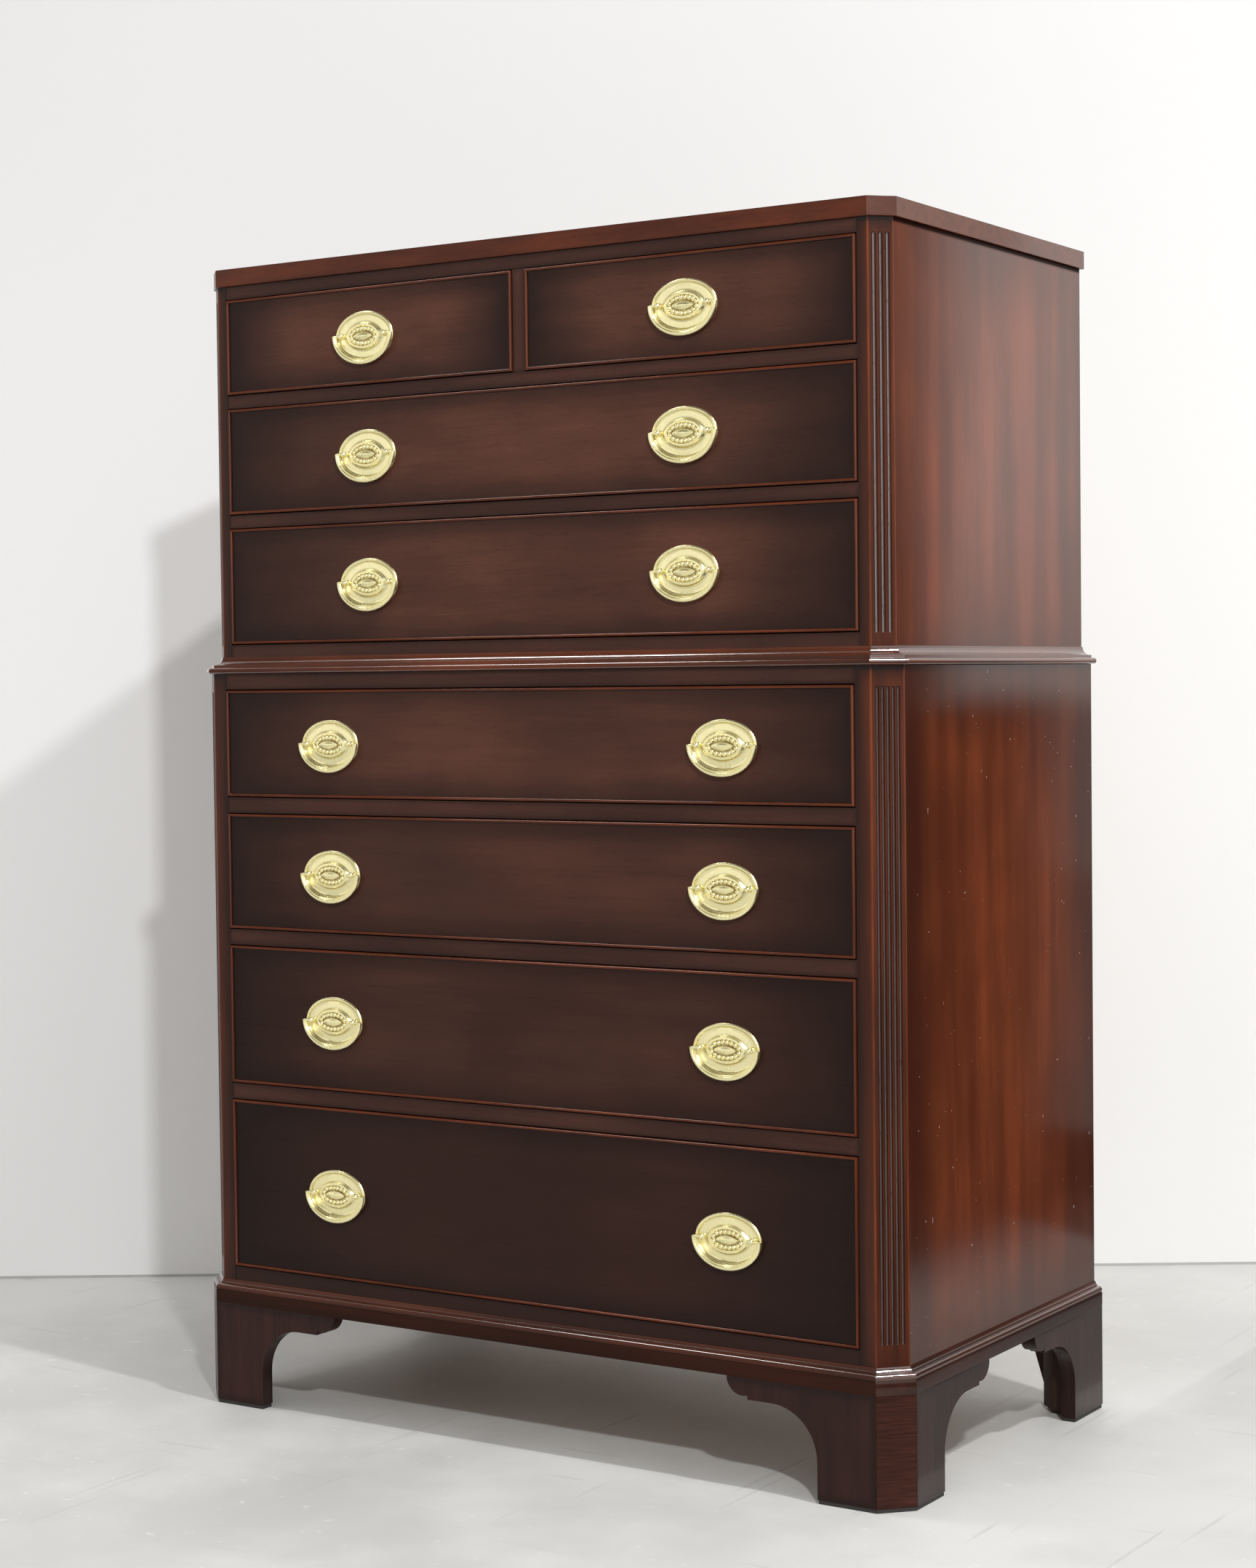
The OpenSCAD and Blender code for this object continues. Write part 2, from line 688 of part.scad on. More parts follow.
module foot_pads() {
    near = base_y + pad_inset;
    near_in = base_y + foot_t - pad_inset;
    far = back_y - pad_inset;
    far_in = back_y - foot_t + pad_inset;
    out = base_x - pad_inset;
    in_x = base_x - foot_t + pad_inset;
    leg_x = base_x - foot_front_w + pad_inset;
    leg_y = base_y + foot_side_w - pad_inset;
    rear_x = base_x - foot_t - rear_foot_low_w + pad_inset;
    rear_y = back_y - foot_rear_w + pad_inset;
    color(pad_black) for (right = [true, false]) handed(right) {
        raised([
            [leg_x, near], [base_x - base_cant, near], [out, base_y + base_cant], [out, leg_y],
            [in_x, leg_y], [in_x, near_in], [leg_x, near_in]
        ], 0, pad_t);
        raised([
            [out, far], [rear_x, far], [rear_x, far_in], [in_x, far_in], [in_x, rear_y], [out, rear_y]
        ], 0, pad_t);
    }
}

// Height of a drawer side, and the number of its dovetails
function side_h(row) = row[3] - side_drop - run_gap;
function tail_count(row) = max(2, floor(side_h(row) / tail_pitch));

// The dovetails of one drawer side, in depth and height, from a lap behind the face
module dovetails(row, thick) {
    count = tail_count(row);
    for (k = [0:count - 1]) translate([0, 0, run_gap + side_h(row) * (k + 0.5) / count])
        rotate([90, 0, 90]) linear_extrude(thick) polygon([
            [dovetail_lap, -tail_w / 2], [dovetail_lap, tail_w / 2], [front_t, tail_neck / 2],
            [front_t + past, tail_neck / 2], [front_t + past, -tail_neck / 2], [front_t, -tail_neck / 2]
        ]);
}

// Section of a drawer's bead: X backwards from the drawer's face, Y across its thickness
module bead_section() {
    translate([bead_t / 2 - bead_out, bead_t / 2]) circle(bead_t / 2);
    translate([bead_t / 2 - bead_out, 0]) square([bead_d + bead_out - bead_t / 2 - glue, bead_t]);
}

// Four mitred lengths of bead round a drawer front
module beads(half, low, high) {
    tall = high - low;
    for (up = [0, 1]) translate([0, 0, low + up * tall]) mirror([0, 0, up]) intersection() {
        translate([-half, 0, 0]) rotate([90, 0, 90]) linear_extrude(2 * half) bead_section();
        cut_through([
            [glue - half, 0], [half - glue, 0],
            [half - bead_t - glue, bead_t], [bead_t + glue - half, bead_t]
        ], -bead_out - past, bead_d + past);
    }
    for (right = [true, false]) handed(right) intersection() {
        translate([half, 0, low]) mirror([1, 0, 0]) rotate([0, 0, 90]) mirror([0, 1, 0])
            linear_extrude(tall) bead_section();
        cut_through([
            [half, low], [half, high], [half - bead_t, high - bead_t], [half - bead_t, low + bead_t]
        ], -bead_out - past, bead_d + past);
    }
}

// A drawer front with its beads, dovetail sockets, bottom groove and bolt holes
module drawer_front(d) {
    row = DRAWERS[d];
    half = row[1] / 2 - drawer_gap;
    low = drawer_gap;
    high = row[3] - drawer_gap;
    bottom_z = run_gap + bottom_up;
    groove_x = half - drawer_side_t + groove_in;
    translate([row[0], row[4], row[2]]) {
        color(mahogany) difference() {
            union() {
                block([-half, bead_d, low], [half, front_t, high]);
                block([bead_t + glue - half, 0, low + bead_t + glue],
                      [half - bead_t - glue, bead_d + past, high - bead_t - glue]);
            }
            for (right = [true, false]) handed(right) translate([half - drawer_side_t, 0, 0])
                dovetails(row, drawer_side_t + past);
            block([-groove_x, front_t - groove_in, bottom_z],
                  [groove_x, front_t + past, bottom_z + drawer_bottom_t]);
            for (pull = row[6], side = [-1, 1]) translate([pull + side * post_x, -past, row[3] / 2])
                rotate([-90, 0, 0]) cylinder(h = front_t + 2 * past, r = bolt_r + bolt_clear);
        }
        color(cross_grain) beads(half, low, high);
    }
}

// The sides, back and bottom of a drawer
module drawer_box(d) {
    row = DRAWERS[d];
    half = row[1] / 2 - drawer_gap;
    inner = half - drawer_side_t;
    top = run_gap + side_h(row);
    bottom_z = run_gap + bottom_up;
    back_face = row[5] - side_past;
    translate([row[0], row[4], row[2]]) color(inner_wood) {
        for (right = [true, false]) handed(right) difference() {
            union() {
                block([inner, front_t, run_gap], [half, row[5], top]);
                translate([inner, 0, 0]) dovetails(row, drawer_side_t);
            }
            block([inner - past, 0, bottom_z],
                  [inner + groove_in, row[5] + past, bottom_z + drawer_bottom_t]);
        }
        block([glue - inner, back_face - drawer_back_t, bottom_z + drawer_bottom_t],
              [inner - glue, back_face, top - back_drop]);
        block([glue - inner - groove_in, front_t - groove_in, bottom_z + glue],
              [inner + groove_in - glue, back_face, bottom_z + drawer_bottom_t - glue]);
    }
}

// Points of an oval with half sizes a and b, from one angle to another
function oval(a, b, from = 0, to = 360 - oval_step) =
    [for (t = [from:oval_step:to]) [a * cos(t), b * sin(t)]];

// A flat oval, raised from one height to another
module oval_plate(a, b, low, high) {
    raised(oval(a, b), low, high);
}

// The oval plate of a pull: raised rim, raised boss with a sunk field, and the leaf in it
module pull_plate() {
    color(brass) difference() {
        translate([0, -plate_drop, 0]) {
            difference() {
                oval_plate(plate_a, plate_b, 0, rim_h);
                oval_plate(plate_a - rim_w, plate_b - rim_w, plate_t, rim_h + past);
            }
            difference() {
                oval_plate(boss_a, boss_b, plate_t / 2, boss_h);
                oval_plate(boss_a - collar_w, boss_b - collar_w, boss_h - field_d, boss_h + past);
            }
            linear_extrude(boss_h) leaf();
        }
        for (side = [-1, 1]) translate([side * post_x, 0, -past])
            cylinder(h = plate_t + 2 * past, r = bolt_r + bolt_clear);
    }
}

// A pointed oval between two arcs
module leaf() {
    r = (leaf_a * leaf_a + leaf_b * leaf_b) / (2 * leaf_b);
    intersection() {
        translate([0, leaf_b - r]) circle(r);
        translate([0, r - leaf_b]) circle(r);
    }
}

// A ball-headed post: its collar seats on the plate and its shank passes through the drawer front
module pull_post() {
    reach = front_t + nut_t + bolt_past;
    seat = plate_t + glue;
    color(brass) {
        difference() {
            union() {
                translate([0, 0, pivot_out]) sphere(r = ball_r);
                translate([0, 0, seat]) cylinder(h = pivot_out - seat, r = post_collar_r);
                translate([0, 0, -reach]) cylinder(h = reach + pivot_out - ball_r / 2, r = bolt_r);
            }
            translate([-ball_r - past, 0, pivot_out]) rotate([0, 90, 0])
                cylinder(h = 2 * (ball_r + past), r = pin_r + pin_clear);
        }
        translate([0, 0, -front_t - nut_t]) difference() {
            cylinder(h = nut_t, r = nut_r, $fn = 6);
            translate([0, 0, -past]) cylinder(h = nut_t + 2 * past, r = bolt_r + glue);
        }
    }
}

// Places a pull's pieces on a drawer, at the height of its posts
module at_pull(d, k) {
    row = DRAWERS[d];
    translate([row[0] + row[6][k], row[4], row[2] + row[3] / 2]) rotate([90, 0, 0]) children();
}

module drawer_plates(d) {
    for (k = [0:len(DRAWERS[d][6]) - 1]) at_pull(d, k) {
        pull_plate();
        for (side = [-1, 1]) translate([side * post_x, 0, 0]) pull_post();
    }
}

// A half-oval bail with square ends and a pin at each end
module bail(d, k) {
    outer = bail_w / 2;
    rim = oval(bail_a + outer, bail_b + outer, 180, 360);
    hollow = oval(bail_a - outer, bail_b - outer, 180, 360);
    ends = [[bail_a + outer, bail_up], [bail_a - outer, bail_up]];
    color(brass) at_pull(d, k) translate([0, 0, pivot_out]) {
        translate([0, 0, -bail_t / 2]) linear_extrude(bail_t) polygon(concat(
            rim, ends, [for (i = [len(hollow) - 1:-1:0]) hollow[i]], [flip(ends[1]), flip(ends[0])]
        ));
        for (side = [0, 1]) mirror([side, 0, 0]) translate([post_x - ball_r / 2, 0, 0]) rotate([0, 90, 0])
            cylinder(h = bail_a - post_x + ball_r / 2, r = pin_r);
    }
}

top_board();
handed(false) side_panel(upper_x, upper_side_t, upper_y, upper_cant, waist_z, top_z);  // upper_side_left
handed(true) side_panel(upper_x, upper_side_t, upper_y, upper_cant, waist_z, top_z);  // upper_side_right
upper_corner(false);  // upper_corner_left
upper_corner(true);  // upper_corner_right
upper_rails();
upper_runners();
waist_moulding();
handed(false) side_panel(lower_x, lower_side_t, lower_y, lower_cant, case_z, waist_z);  // lower_side_left
handed(true) side_panel(lower_x, lower_side_t, lower_y, lower_cant, case_z, waist_z);  // lower_side_right
lower_corner(false);  // lower_corner_left
lower_corner(true);  // lower_corner_right
lower_rails();
lower_runners();
case_bottoms();
back_boards();
base_moulding();
front_foot(false);  // front_foot_left
front_foot(true);  // front_foot_right
rear_foot(false);  // rear_foot_left
rear_foot(true);  // rear_foot_right
foot_pads();
for (d = [0:len(DRAWERS) - 1]) {
    drawer_front(d);
    drawer_box(d);
    drawer_plates(d);
    for (k = [0:len(DRAWERS[d][6]) - 1])
        bail(d, k);
}
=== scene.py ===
"""A mahogany chest on chest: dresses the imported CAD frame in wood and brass, and sets its stage."""

import json
import math
from dataclasses import dataclass, replace

import bmesh
import bpy
from bpy.props import FloatProperty, FloatVectorProperty, IntProperty, PointerProperty
from mathutils import Matrix, Vector

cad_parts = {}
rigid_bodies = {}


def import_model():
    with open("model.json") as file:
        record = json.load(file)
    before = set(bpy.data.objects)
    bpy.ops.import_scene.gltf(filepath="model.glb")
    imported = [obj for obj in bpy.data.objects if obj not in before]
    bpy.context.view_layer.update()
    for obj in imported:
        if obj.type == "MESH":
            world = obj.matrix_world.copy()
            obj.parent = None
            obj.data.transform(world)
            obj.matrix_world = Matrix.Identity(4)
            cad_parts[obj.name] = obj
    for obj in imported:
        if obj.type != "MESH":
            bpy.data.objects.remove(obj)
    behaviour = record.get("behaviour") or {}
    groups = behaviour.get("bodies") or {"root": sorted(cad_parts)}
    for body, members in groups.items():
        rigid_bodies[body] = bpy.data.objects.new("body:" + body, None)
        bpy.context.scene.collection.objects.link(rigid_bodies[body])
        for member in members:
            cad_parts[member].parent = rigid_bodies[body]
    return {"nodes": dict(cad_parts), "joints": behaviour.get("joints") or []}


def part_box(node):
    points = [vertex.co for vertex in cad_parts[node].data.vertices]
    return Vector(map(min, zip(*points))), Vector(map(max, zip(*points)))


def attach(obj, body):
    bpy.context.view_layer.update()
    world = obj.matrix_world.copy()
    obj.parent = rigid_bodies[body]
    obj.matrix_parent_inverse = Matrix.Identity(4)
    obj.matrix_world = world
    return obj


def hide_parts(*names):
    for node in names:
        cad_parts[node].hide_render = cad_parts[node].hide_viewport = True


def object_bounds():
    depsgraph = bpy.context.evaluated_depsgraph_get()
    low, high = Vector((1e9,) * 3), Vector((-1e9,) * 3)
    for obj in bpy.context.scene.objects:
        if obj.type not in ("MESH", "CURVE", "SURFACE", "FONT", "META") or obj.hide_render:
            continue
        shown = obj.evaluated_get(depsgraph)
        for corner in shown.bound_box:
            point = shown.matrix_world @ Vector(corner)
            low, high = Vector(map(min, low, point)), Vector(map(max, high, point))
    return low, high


bl_info = {
    "name": "Chest on chest",
    "version": (1, 0, 0),
    "blender": (4, 5, 0),
    "location": "3D View > Sidebar > Chest",
    "description": "Builds the wood, the brass and the stage of a mahogany chest on chest",
    "category": "Object",
}

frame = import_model()
CAD_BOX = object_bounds()
HINGES = {joint["child"]: joint for joint in frame["joints"] if joint["type"] == "hinge"}
DRAWERS = range(1, 9)
HANDS = (("right", 1), ("left", -1))
# Joint left open between two glued pieces
GLUE = 0.0001
# How far a mitre at a canted corner shifts along, for each step outwards
MITRE = math.tan(math.radians(22.5))
# Gives each board its own part of the wood's figure
GRAIN_SHIFT = 7.3
# How much lower the middle of a boss's field lies, from where its pearls and its leaf start
FIELD_SINK = 0.0002


def length(name, description, default):
    """A size in metres that the user can change."""
    return FloatProperty(
        name=name, description=description, default=default, min=0, precision=4, unit="LENGTH")


def share(name, description, default, top=1.0):
    """A plain number from 0 up."""
    return FloatProperty(name=name, description=description, default=default, min=0, max=top)


def number(name, description, default, least=1):
    """A whole number that the user can change."""
    return IntProperty(name=name, description=description, default=default, min=least)


def power(name, description, default):
    """A lamp's power in watts."""
    return FloatProperty(name=name, description=description, default=default, min=0, unit="POWER")


def linear(value):
    """An 8-bit sRGB value as a linear one."""
    value /= 255
    return value / 12.92 if value <= 0.04045 else ((value + 0.055) / 1.055) ** 2.4


def paint(name, description, *rgb):
    """A colour that the user can change, with its default as three 8-bit sRGB values."""
    return FloatVectorProperty(
        name=name, description=description, subtype="COLOR", size=3, min=0, max=1,
        default=[linear(value) for value in rgb])


class WoodSettings(bpy.types.PropertyGroup):
    """Colours and edges of the wood"""
    drawer_deep: paint("Drawer, deep", "Deep colour of the drawer fronts", 57, 34, 29)
    drawer_warm: paint("Drawer, warm", "Warm colour of the drawer fronts", 113, 71, 55)
    rail_deep: paint("Rail, deep", "Deep colour of the rails", 50, 30, 25)
    rail_warm: paint("Rail, warm", "Warm colour of the rails", 86, 52, 42)
    side_deep: paint("Side, deep", "Deep colour of the side panels", 74, 31, 16)
    side_warm: paint("Side, warm", "Warm colour of the side panels", 132, 64, 34)
    corner_deep: paint("Corner, deep", "Deep colour of the canted corners", 54, 23, 12)
    corner_warm: paint("Corner, warm", "Warm colour of the canted corners", 100, 47, 25)
    worn: paint("Worn edge", "Colour of the wood where polish has worn off an edge", 132, 64, 30)
    # The pale colour of the highlights painted in the flutes and on the top's ends, also used brighter for
    # the specks
    wax: paint("Pale highlight", "Colour of the painted highlights and of the specks", 132, 126, 124)
    bead: paint("Bead", "Colour of the beads round the drawers", 104, 50, 30)
    lining: paint("Drawer lining", "Colour of the drawer sides, backs and bottoms", 178, 146, 104)
    softwood: paint("Softwood", "Colour of the inner softwood", 168, 128, 86)
    stained: paint("Stained softwood", "Colour of the stained softwood in the feet", 70, 48, 36)
    moulding_deep: paint("Moulding, deep", "Deep colour of the mouldings", 44, 21, 13)
    moulding_warm: paint("Moulding, warm", "Warm colour of the mouldings", 116, 57, 32)
    foot_deep: paint("Foot, deep", "Deep colour of the bracket feet", 34, 18, 14)
    foot_warm: paint("Foot, warm", "Warm colour of the bracket feet", 64, 34, 27)
    edge_radius: length("Edge radius", "Rounding of the boards' edges", 0.0006)
    tone_width: length("Tone width", "Width of the dark toning along the drawers' edges", 0.040)
    end_tone_share: share("End tone", "Softer toning at the drawers' ends, as a share of their width", 0.28)


class CornerSettings(bpy.types.PropertyGroup):
    """Flutes of the canted corners"""
    upper_flutes: number("Upper flutes", "Number of flutes on an upper corner", 3)
    upper_pitch: length("Upper pitch", "Spacing of the upper flutes", 0.0077)
    upper_width: length("Upper width", "Width of an upper flute", 0.0052)
    # Share of the highlight painted in the upper flutes
    upper_wax: share("Upper highlight", "Highlight painted in the upper flutes", 1.0)
    upper_foot: length("Upper foot", "Plain post above the waist moulding", 0.0137)
    upper_head: length("Upper head", "Plain post above the upper flutes", 0.0166)
    lower_flutes: number("Lower flutes", "Number of flutes on a lower corner", 5)
    lower_pitch: length("Lower pitch", "Spacing of the lower flutes", 0.0059)
    lower_width: length("Lower width", "Width of a lower flute", 0.0042)
    # Share of the highlight painted in the lower flutes
    lower_wax: share("Lower highlight", "Highlight painted in the lower flutes", 0.45)
    lower_foot: length("Lower foot", "Plain post above the base moulding", 0.0232)
    lower_head: length("Lower head", "Plain post above the lower flutes", 0.0225)
    depth: length("Depth", "Depth of the flutes", 0.0019)
    arris: length("Arris", "Width over which an edge is worn", 0.0008)


class MouldingSettings(bpy.types.PropertyGroup):
    """Sections of the waist and base mouldings"""
    gap: length("Running gap", "Gap between the upper case and the waist moulding", 0.0003)
    nose_r: length("Nose", "Radius of the waist moulding's nose", 0.0037)
    nose_out: length("Nose projection", "Projection of the nose in front of the lower case", 0.007)
    fillet_in: length("Fillet setback", "How far the fillet stands behind the nose", 0.0066)
    cove_r: length("Waist cove", "Radius of the waist cove", 0.010)
    cove_lip: length("Waist cove lip", "Thickness left at the cove's top edge", 0.001)
    cove_foot: length("Waist cove foot", "Width by which the cove's thin foot is cut short", 0.002)
    rail_h: length("Base rail", "Height of the flat base rail", 0.0156)
    groove_h: length("Groove height", "Height of the groove above the base rail", 0.0012)
    groove_d: length("Groove depth", "Depth of that groove", 0.001)
    thumb_h: length("Round member", "Height of the round member above the groove", 0.006)
    thumb_r: length("Round member's nose", "Radius of the round member's nose", 0.0041)
    thumb_in: length("Round member's setback", "How far it stands behind the base rail", 0.0003)
    small_cove_out: length("Small cove", "Projection of the small cove", 0.0034)
    small_cove_r: length("Small cove's radius", "Radius of the small cove", 0.0055)
    small_cove_lip: length("Small cove's lip", "Thickness left at its top edge", 0.0011)


class FootSettings(bpy.types.PropertyGroup):
    """Outline of the bracket feet"""
    thick: length("Thickness", "Thickness of the brackets", 0.019)
    front_w: length("Front width", "Width of a front foot's leg across the front", 0.106)
    side_w: length("Side width", "Width of a front foot's leg along the side", 0.100)
    rear_w: length("Rear width", "Width of a rear foot's leg along the side", 0.083)
    scroll_r: length("Hollow", "Radius of the hollow below a bracket's arm", 0.058)
    arm_h: length("Arm height", "Wood left above the hollow", 0.0242)
    arm_flat: length("Arm length", "Length of the arm's straight part", 0.030)
    lobe_r: length("Lobe", "Radius of the lobe at the arm's tip", 0.0207)
    lobe_out: length("Lobe place", "How far the lobe's centre lies past the arm", 0.006)


class DrawerSettings(bpy.types.PropertyGroup):
    """Beads of the drawer fronts"""
    bead_w: length("Bead", "Width of the bead round a drawer front", 0.0032)
    bead_out: length("Bead projection", "Projection of the bead in front of the drawer", 0.0028)
    front_t: length("Front thickness", "Thickness of a drawer front", 0.020)


class PullSettings(bpy.types.PropertyGroup):
    """Sizes and colours of the brass pulls"""
    rim_w: length("Rim", "Width of the plate's raised rim", 0.0044)
    rim_h: length("Rim height", "Height of the plate's raised rim", 0.0025)
    dish: length("Dish", "Height of the plate's dish above the drawer", 0.0011)
    flank_a: length("Flank length", "Half of the length of the pointed flank round the boss", 0.0300)
    flank_b: length("Flank height", "Half of the height of the pointed flank", 0.0172)
    boss_a: length("Boss length", "Half of the boss's length", 0.0234)
    boss_b: length("Boss width", "Half of the boss's width", 0.0146)
    boss_h: length("Boss height", "Height of the boss above the drawer", 0.0048)
    collar_w: length("Collar", "Width of the boss's flat collar", 0.0022)
    field_d: length("Field", "Depth of the sunk field inside the collar", 0.0012)
    pearl_r: length("Pearl", "Radius of the pearls round the leaf", 0.0029)
    pearls: number("Pearls", "Number of pearls", 16)
    leaf_a: length("Leaf length", "Half of the leaf's length", 0.0145)
    leaf_b: length("Leaf width", "Half of the leaf's width", 0.0047)
    post_x: length("Post", "Distance of a post from the middle of its pull", 0.0323)
    ball_r: length("Ball", "Radius of a post's ball head", 0.0036)
    pivot_out: length("Pivot", "Distance of the pivot in front of the drawer", 0.006)
    shank_r: length("Shank", "Radius of a post's shank", 0.002)
    nut_r: length("Nut", "Radius of the nut behind the drawer front", 0.005)
    nut_t: length("Nut thickness", "Thickness of that nut", 0.003)
    bail_a: length("Bail width", "Half of the bail's width, to the middle of its bar", 0.0419)
    bail_b: length("Bail drop", "Drop of the bail, to the middle of its bar", 0.0322)
    bail_w: length("Bar width", "Width of the bail's bar", 0.0064)
    bail_t: length("Bar thickness", "Thickness of the bail's bar", 0.004)
    bail_up: length("Bar ends", "Height of the bar's square ends above the pivot", 0.0006)
    pin_r: length("Pin", "Radius of the bail's pins", 0.0015)
    tick_turn: FloatProperty(
        name="Tick spacing", description="Angle between two of the bar's fine ticks",
        default=math.radians(2.7), subtype="ANGLE")
    ticks: number("Ticks", "Ticks near each end of the bar", 10, 0)
    gold: paint("Brass", "Colour of the bright brass", 255, 246, 192)
    tarnish: paint("Tarnish", "Colour of the brass in its hollows", 130, 106, 54)


class StageSettings(bpy.types.PropertyGroup):
    """Camera, lamps and surroundings"""
    lens: FloatProperty(
        name="Lens", description="Focal length", default=64.54, unit="CAMERA", min=1)
    place: FloatVectorProperty(
        name="Camera", description="Place of the camera", default=(1.8804, -2.9371, 0.9061),
        subtype="TRANSLATION", size=3)
    turn: FloatVectorProperty(
        name="Turn", description="The camera's pitch, roll and yaw", size=3, subtype="EULER",
        default=[math.radians(angle) for angle in (-2.151, -0.667, 32.848)])
    wall: length("Wall", "Distance of the wall from the camera", 4.267)
    wall_right: length("Wall's end", "Distance from the view's middle to the wall's right end", 1.15)
    wall_gap: length("Wall's gap", "Height of the shadowed gap under the wall", 0.004)
    low_power: power("Low lamp", "Power of the low lamp", 80)
    high_power: power("High lamp", "Power of the high lamp", 92)
    window_power: power("Window lamp", "Power of the broad lamp", 47)
    window_size: length("Window size", "Width of the broad lamp", 1.0)
    lamp_away: length("Lamps", "Distance of the lamps from the chest's top left corner", 4.5)
    lamp_size: length("Lamp size", "Width of the lamps", 0.16)
    sky_low: share("Low surroundings", "Strength of the light from near the floor", 0.27, 10)
    sky_high: share("High surroundings", "Strength of the light from above", 0.62, 10)
    wall_colour: paint("Wall", "Colour of the wall", 250, 250, 250)
    floor_colour: paint("Floor", "Colour of the floor", 218, 218, 216)


def settings():
    """The scene's groups of settings."""
    return bpy.context.scene.chest


# Shader helpers

def fill(tree, node, inputs):
    """Links or sets a node's inputs."""
    for name, value in inputs.items():
        if isinstance(value, bpy.types.NodeSocket):
            tree.links.new(value, node.inputs[name])
        else:
            node.inputs[name].default_value = value


def add(tree, kind, inputs=(), **choices):
    """A shader node with its choices made and its inputs linked or set."""
    node = tree.nodes.new(kind)
    for name, choice in choices.items():
        setattr(node, name, choice)
    fill(tree, node, dict(inputs))
    return node


def calc(tree, operation, *values):
    """The result of a Math node."""
    return add(tree, "ShaderNodeMath", dict(enumerate(values)), operation=operation).outputs[0]


def vector_calc(tree, operation, *values):
    """The result of a Vector Math node."""
    return add(tree, "ShaderNodeVectorMath", dict(enumerate(values)), operation=operation).outputs[0]


def carry(tree, value, low, high, start=0.0, end=1.0):
    """A value carried smoothly from one range to another."""
    return add(tree, "ShaderNodeMapRange", {
        "Value": value, "From Min": low, "From Max": high, "To Min": start, "To Max": end,
    }, interpolation_type="SMOOTHSTEP").outputs[0]


def parts(tree, vector):
    """The three parts of a vector."""
    return add(tree, "ShaderNodeSeparateXYZ", {0: vector}).outputs


def coordinates(tree, kind="Object"):
    """The place, or the facing, of a point on its object."""
    return add(tree, "ShaderNodeTexCoord").outputs[kind]


def noise(tree, place, scale, detail=2.0, roughness=0.5):
    """Soft noise from 0 to 1."""
    return add(tree, "ShaderNodeTexNoise", {
        "Vector": place, "Scale": scale, "Detail": detail, "Roughness": roughness,
    }).outputs[0]


def attribute(tree, name, output="Fac"):
    """A value that the mesh carries at its points."""
    return add(tree, "ShaderNodeAttribute", attribute_name=name).outputs[output]


def toned(colour, factor):
    """A colour brightened or darkened by a factor."""
    return [part * factor for part in colour]


def rgba(colour, factor=1.0):
    """A colour for a socket, brightened or darkened by a factor."""
    return (*toned(colour, factor), 1)


def blend_colour(tree, factor, first, second, how="MIX"):
    """Two colours blended."""
    return add(tree, "ShaderNodeMix", {0: factor, 6: first, 7: second},
               data_type="RGBA", blend_type=how).outputs[2]


def shader_group(name, inputs, outputs):
    """A new shader node group for numbers, with its given values and its results."""
    tree = bpy.data.node_groups.new(name, "ShaderNodeTree")
    for label, default in inputs.items():
        socket = tree.interface.new_socket(label, in_out="INPUT", socket_type="NodeSocketFloat")
        socket.default_value = default
    for label in outputs:
        tree.interface.new_socket(label, in_out="OUTPUT", socket_type="NodeSocketFloat")
    return tree, tree.nodes.new("NodeGroupInput").outputs, tree.nodes.new("NodeGroupOutput").inputs


def wood_figure():
    """Stripes, streaks, clouds and pores that run along each board's grain."""
    if "Wood figure" in bpy.data.node_groups:
        return bpy.data.node_groups["Wood figure"]
    tree, given, result = shader_group(
        "Wood figure", {"Stripe width": 0.05, "Squeeze": 14.0},
        ["Stripes", "Streaks", "Clouds", "Pores"])
    grain = attribute(tree, "grain", "Vector")
    squeeze = calc(tree, "DIVIDE", 1.0, given["Squeeze"])
    long = vector_calc(tree, "MULTIPLY", grain, add(
        tree, "ShaderNodeCombineXYZ", {0: 1.0, 1: 1.0, 2: squeeze}).outputs[0])
    fine = vector_calc(tree, "MULTIPLY", grain, (1.0, 1.0, 0.03))
    short = vector_calc(tree, "MULTIPLY", grain, (1.0, 1.0, 0.08))
    results = {
        "Stripes": noise(tree, long, calc(tree, "DIVIDE", 1.0, given["Stripe width"]), 3.0, 0.55),
        "Streaks": noise(tree, fine, 330.0, 3.0, 0.6),
        "Clouds": noise(tree, grain, 6.0, 2.0),
        "Pores": carry(tree, noise(tree, short, 1300.0, 1.0), 0.6, 0.72),
    }
    for label, value in results.items():
        tree.links.new(value, result[label])
    return tree


def board_edges():
    """How near a point of a flat board lies to the board's edges, from 0 to 1."""
    if "Board edges" in bpy.data.node_groups:
        return bpy.data.node_groups["Board edges"]
    tree, given, result = shader_group(
        "Board edges", {"Width": 0.03, "End share": 0.28}, ["Near", "Near ends"])
    from_low = attribute(tree, "from_low", "Vector")
    from_high = attribute(tree, "from_high", "Vector")
    nearest = vector_calc(tree, "MINIMUM", from_low, from_high)
    facing = vector_calc(tree, "ABSOLUTE", coordinates(tree, "Normal"))
    across = parts(tree, vector_calc(tree, "ADD", nearest, facing))
    distance = calc(tree, "MINIMUM", calc(tree, "MINIMUM", across[0], across[1]), across[2])
    whole = parts(tree, vector_calc(tree, "ADD", from_low, from_high))
    end_width = calc(tree, "MULTIPLY", whole[0], given["End share"])
    for label, inside, width in (("Near", distance, given["Width"]), ("Near ends", across[0], end_width)):
        share_in = calc(tree, "DIVIDE", inside, width)
        tree.links.new(carry(tree, share_in, 0.0, 1.0, 1.0, 0.0), result[label])
    return tree


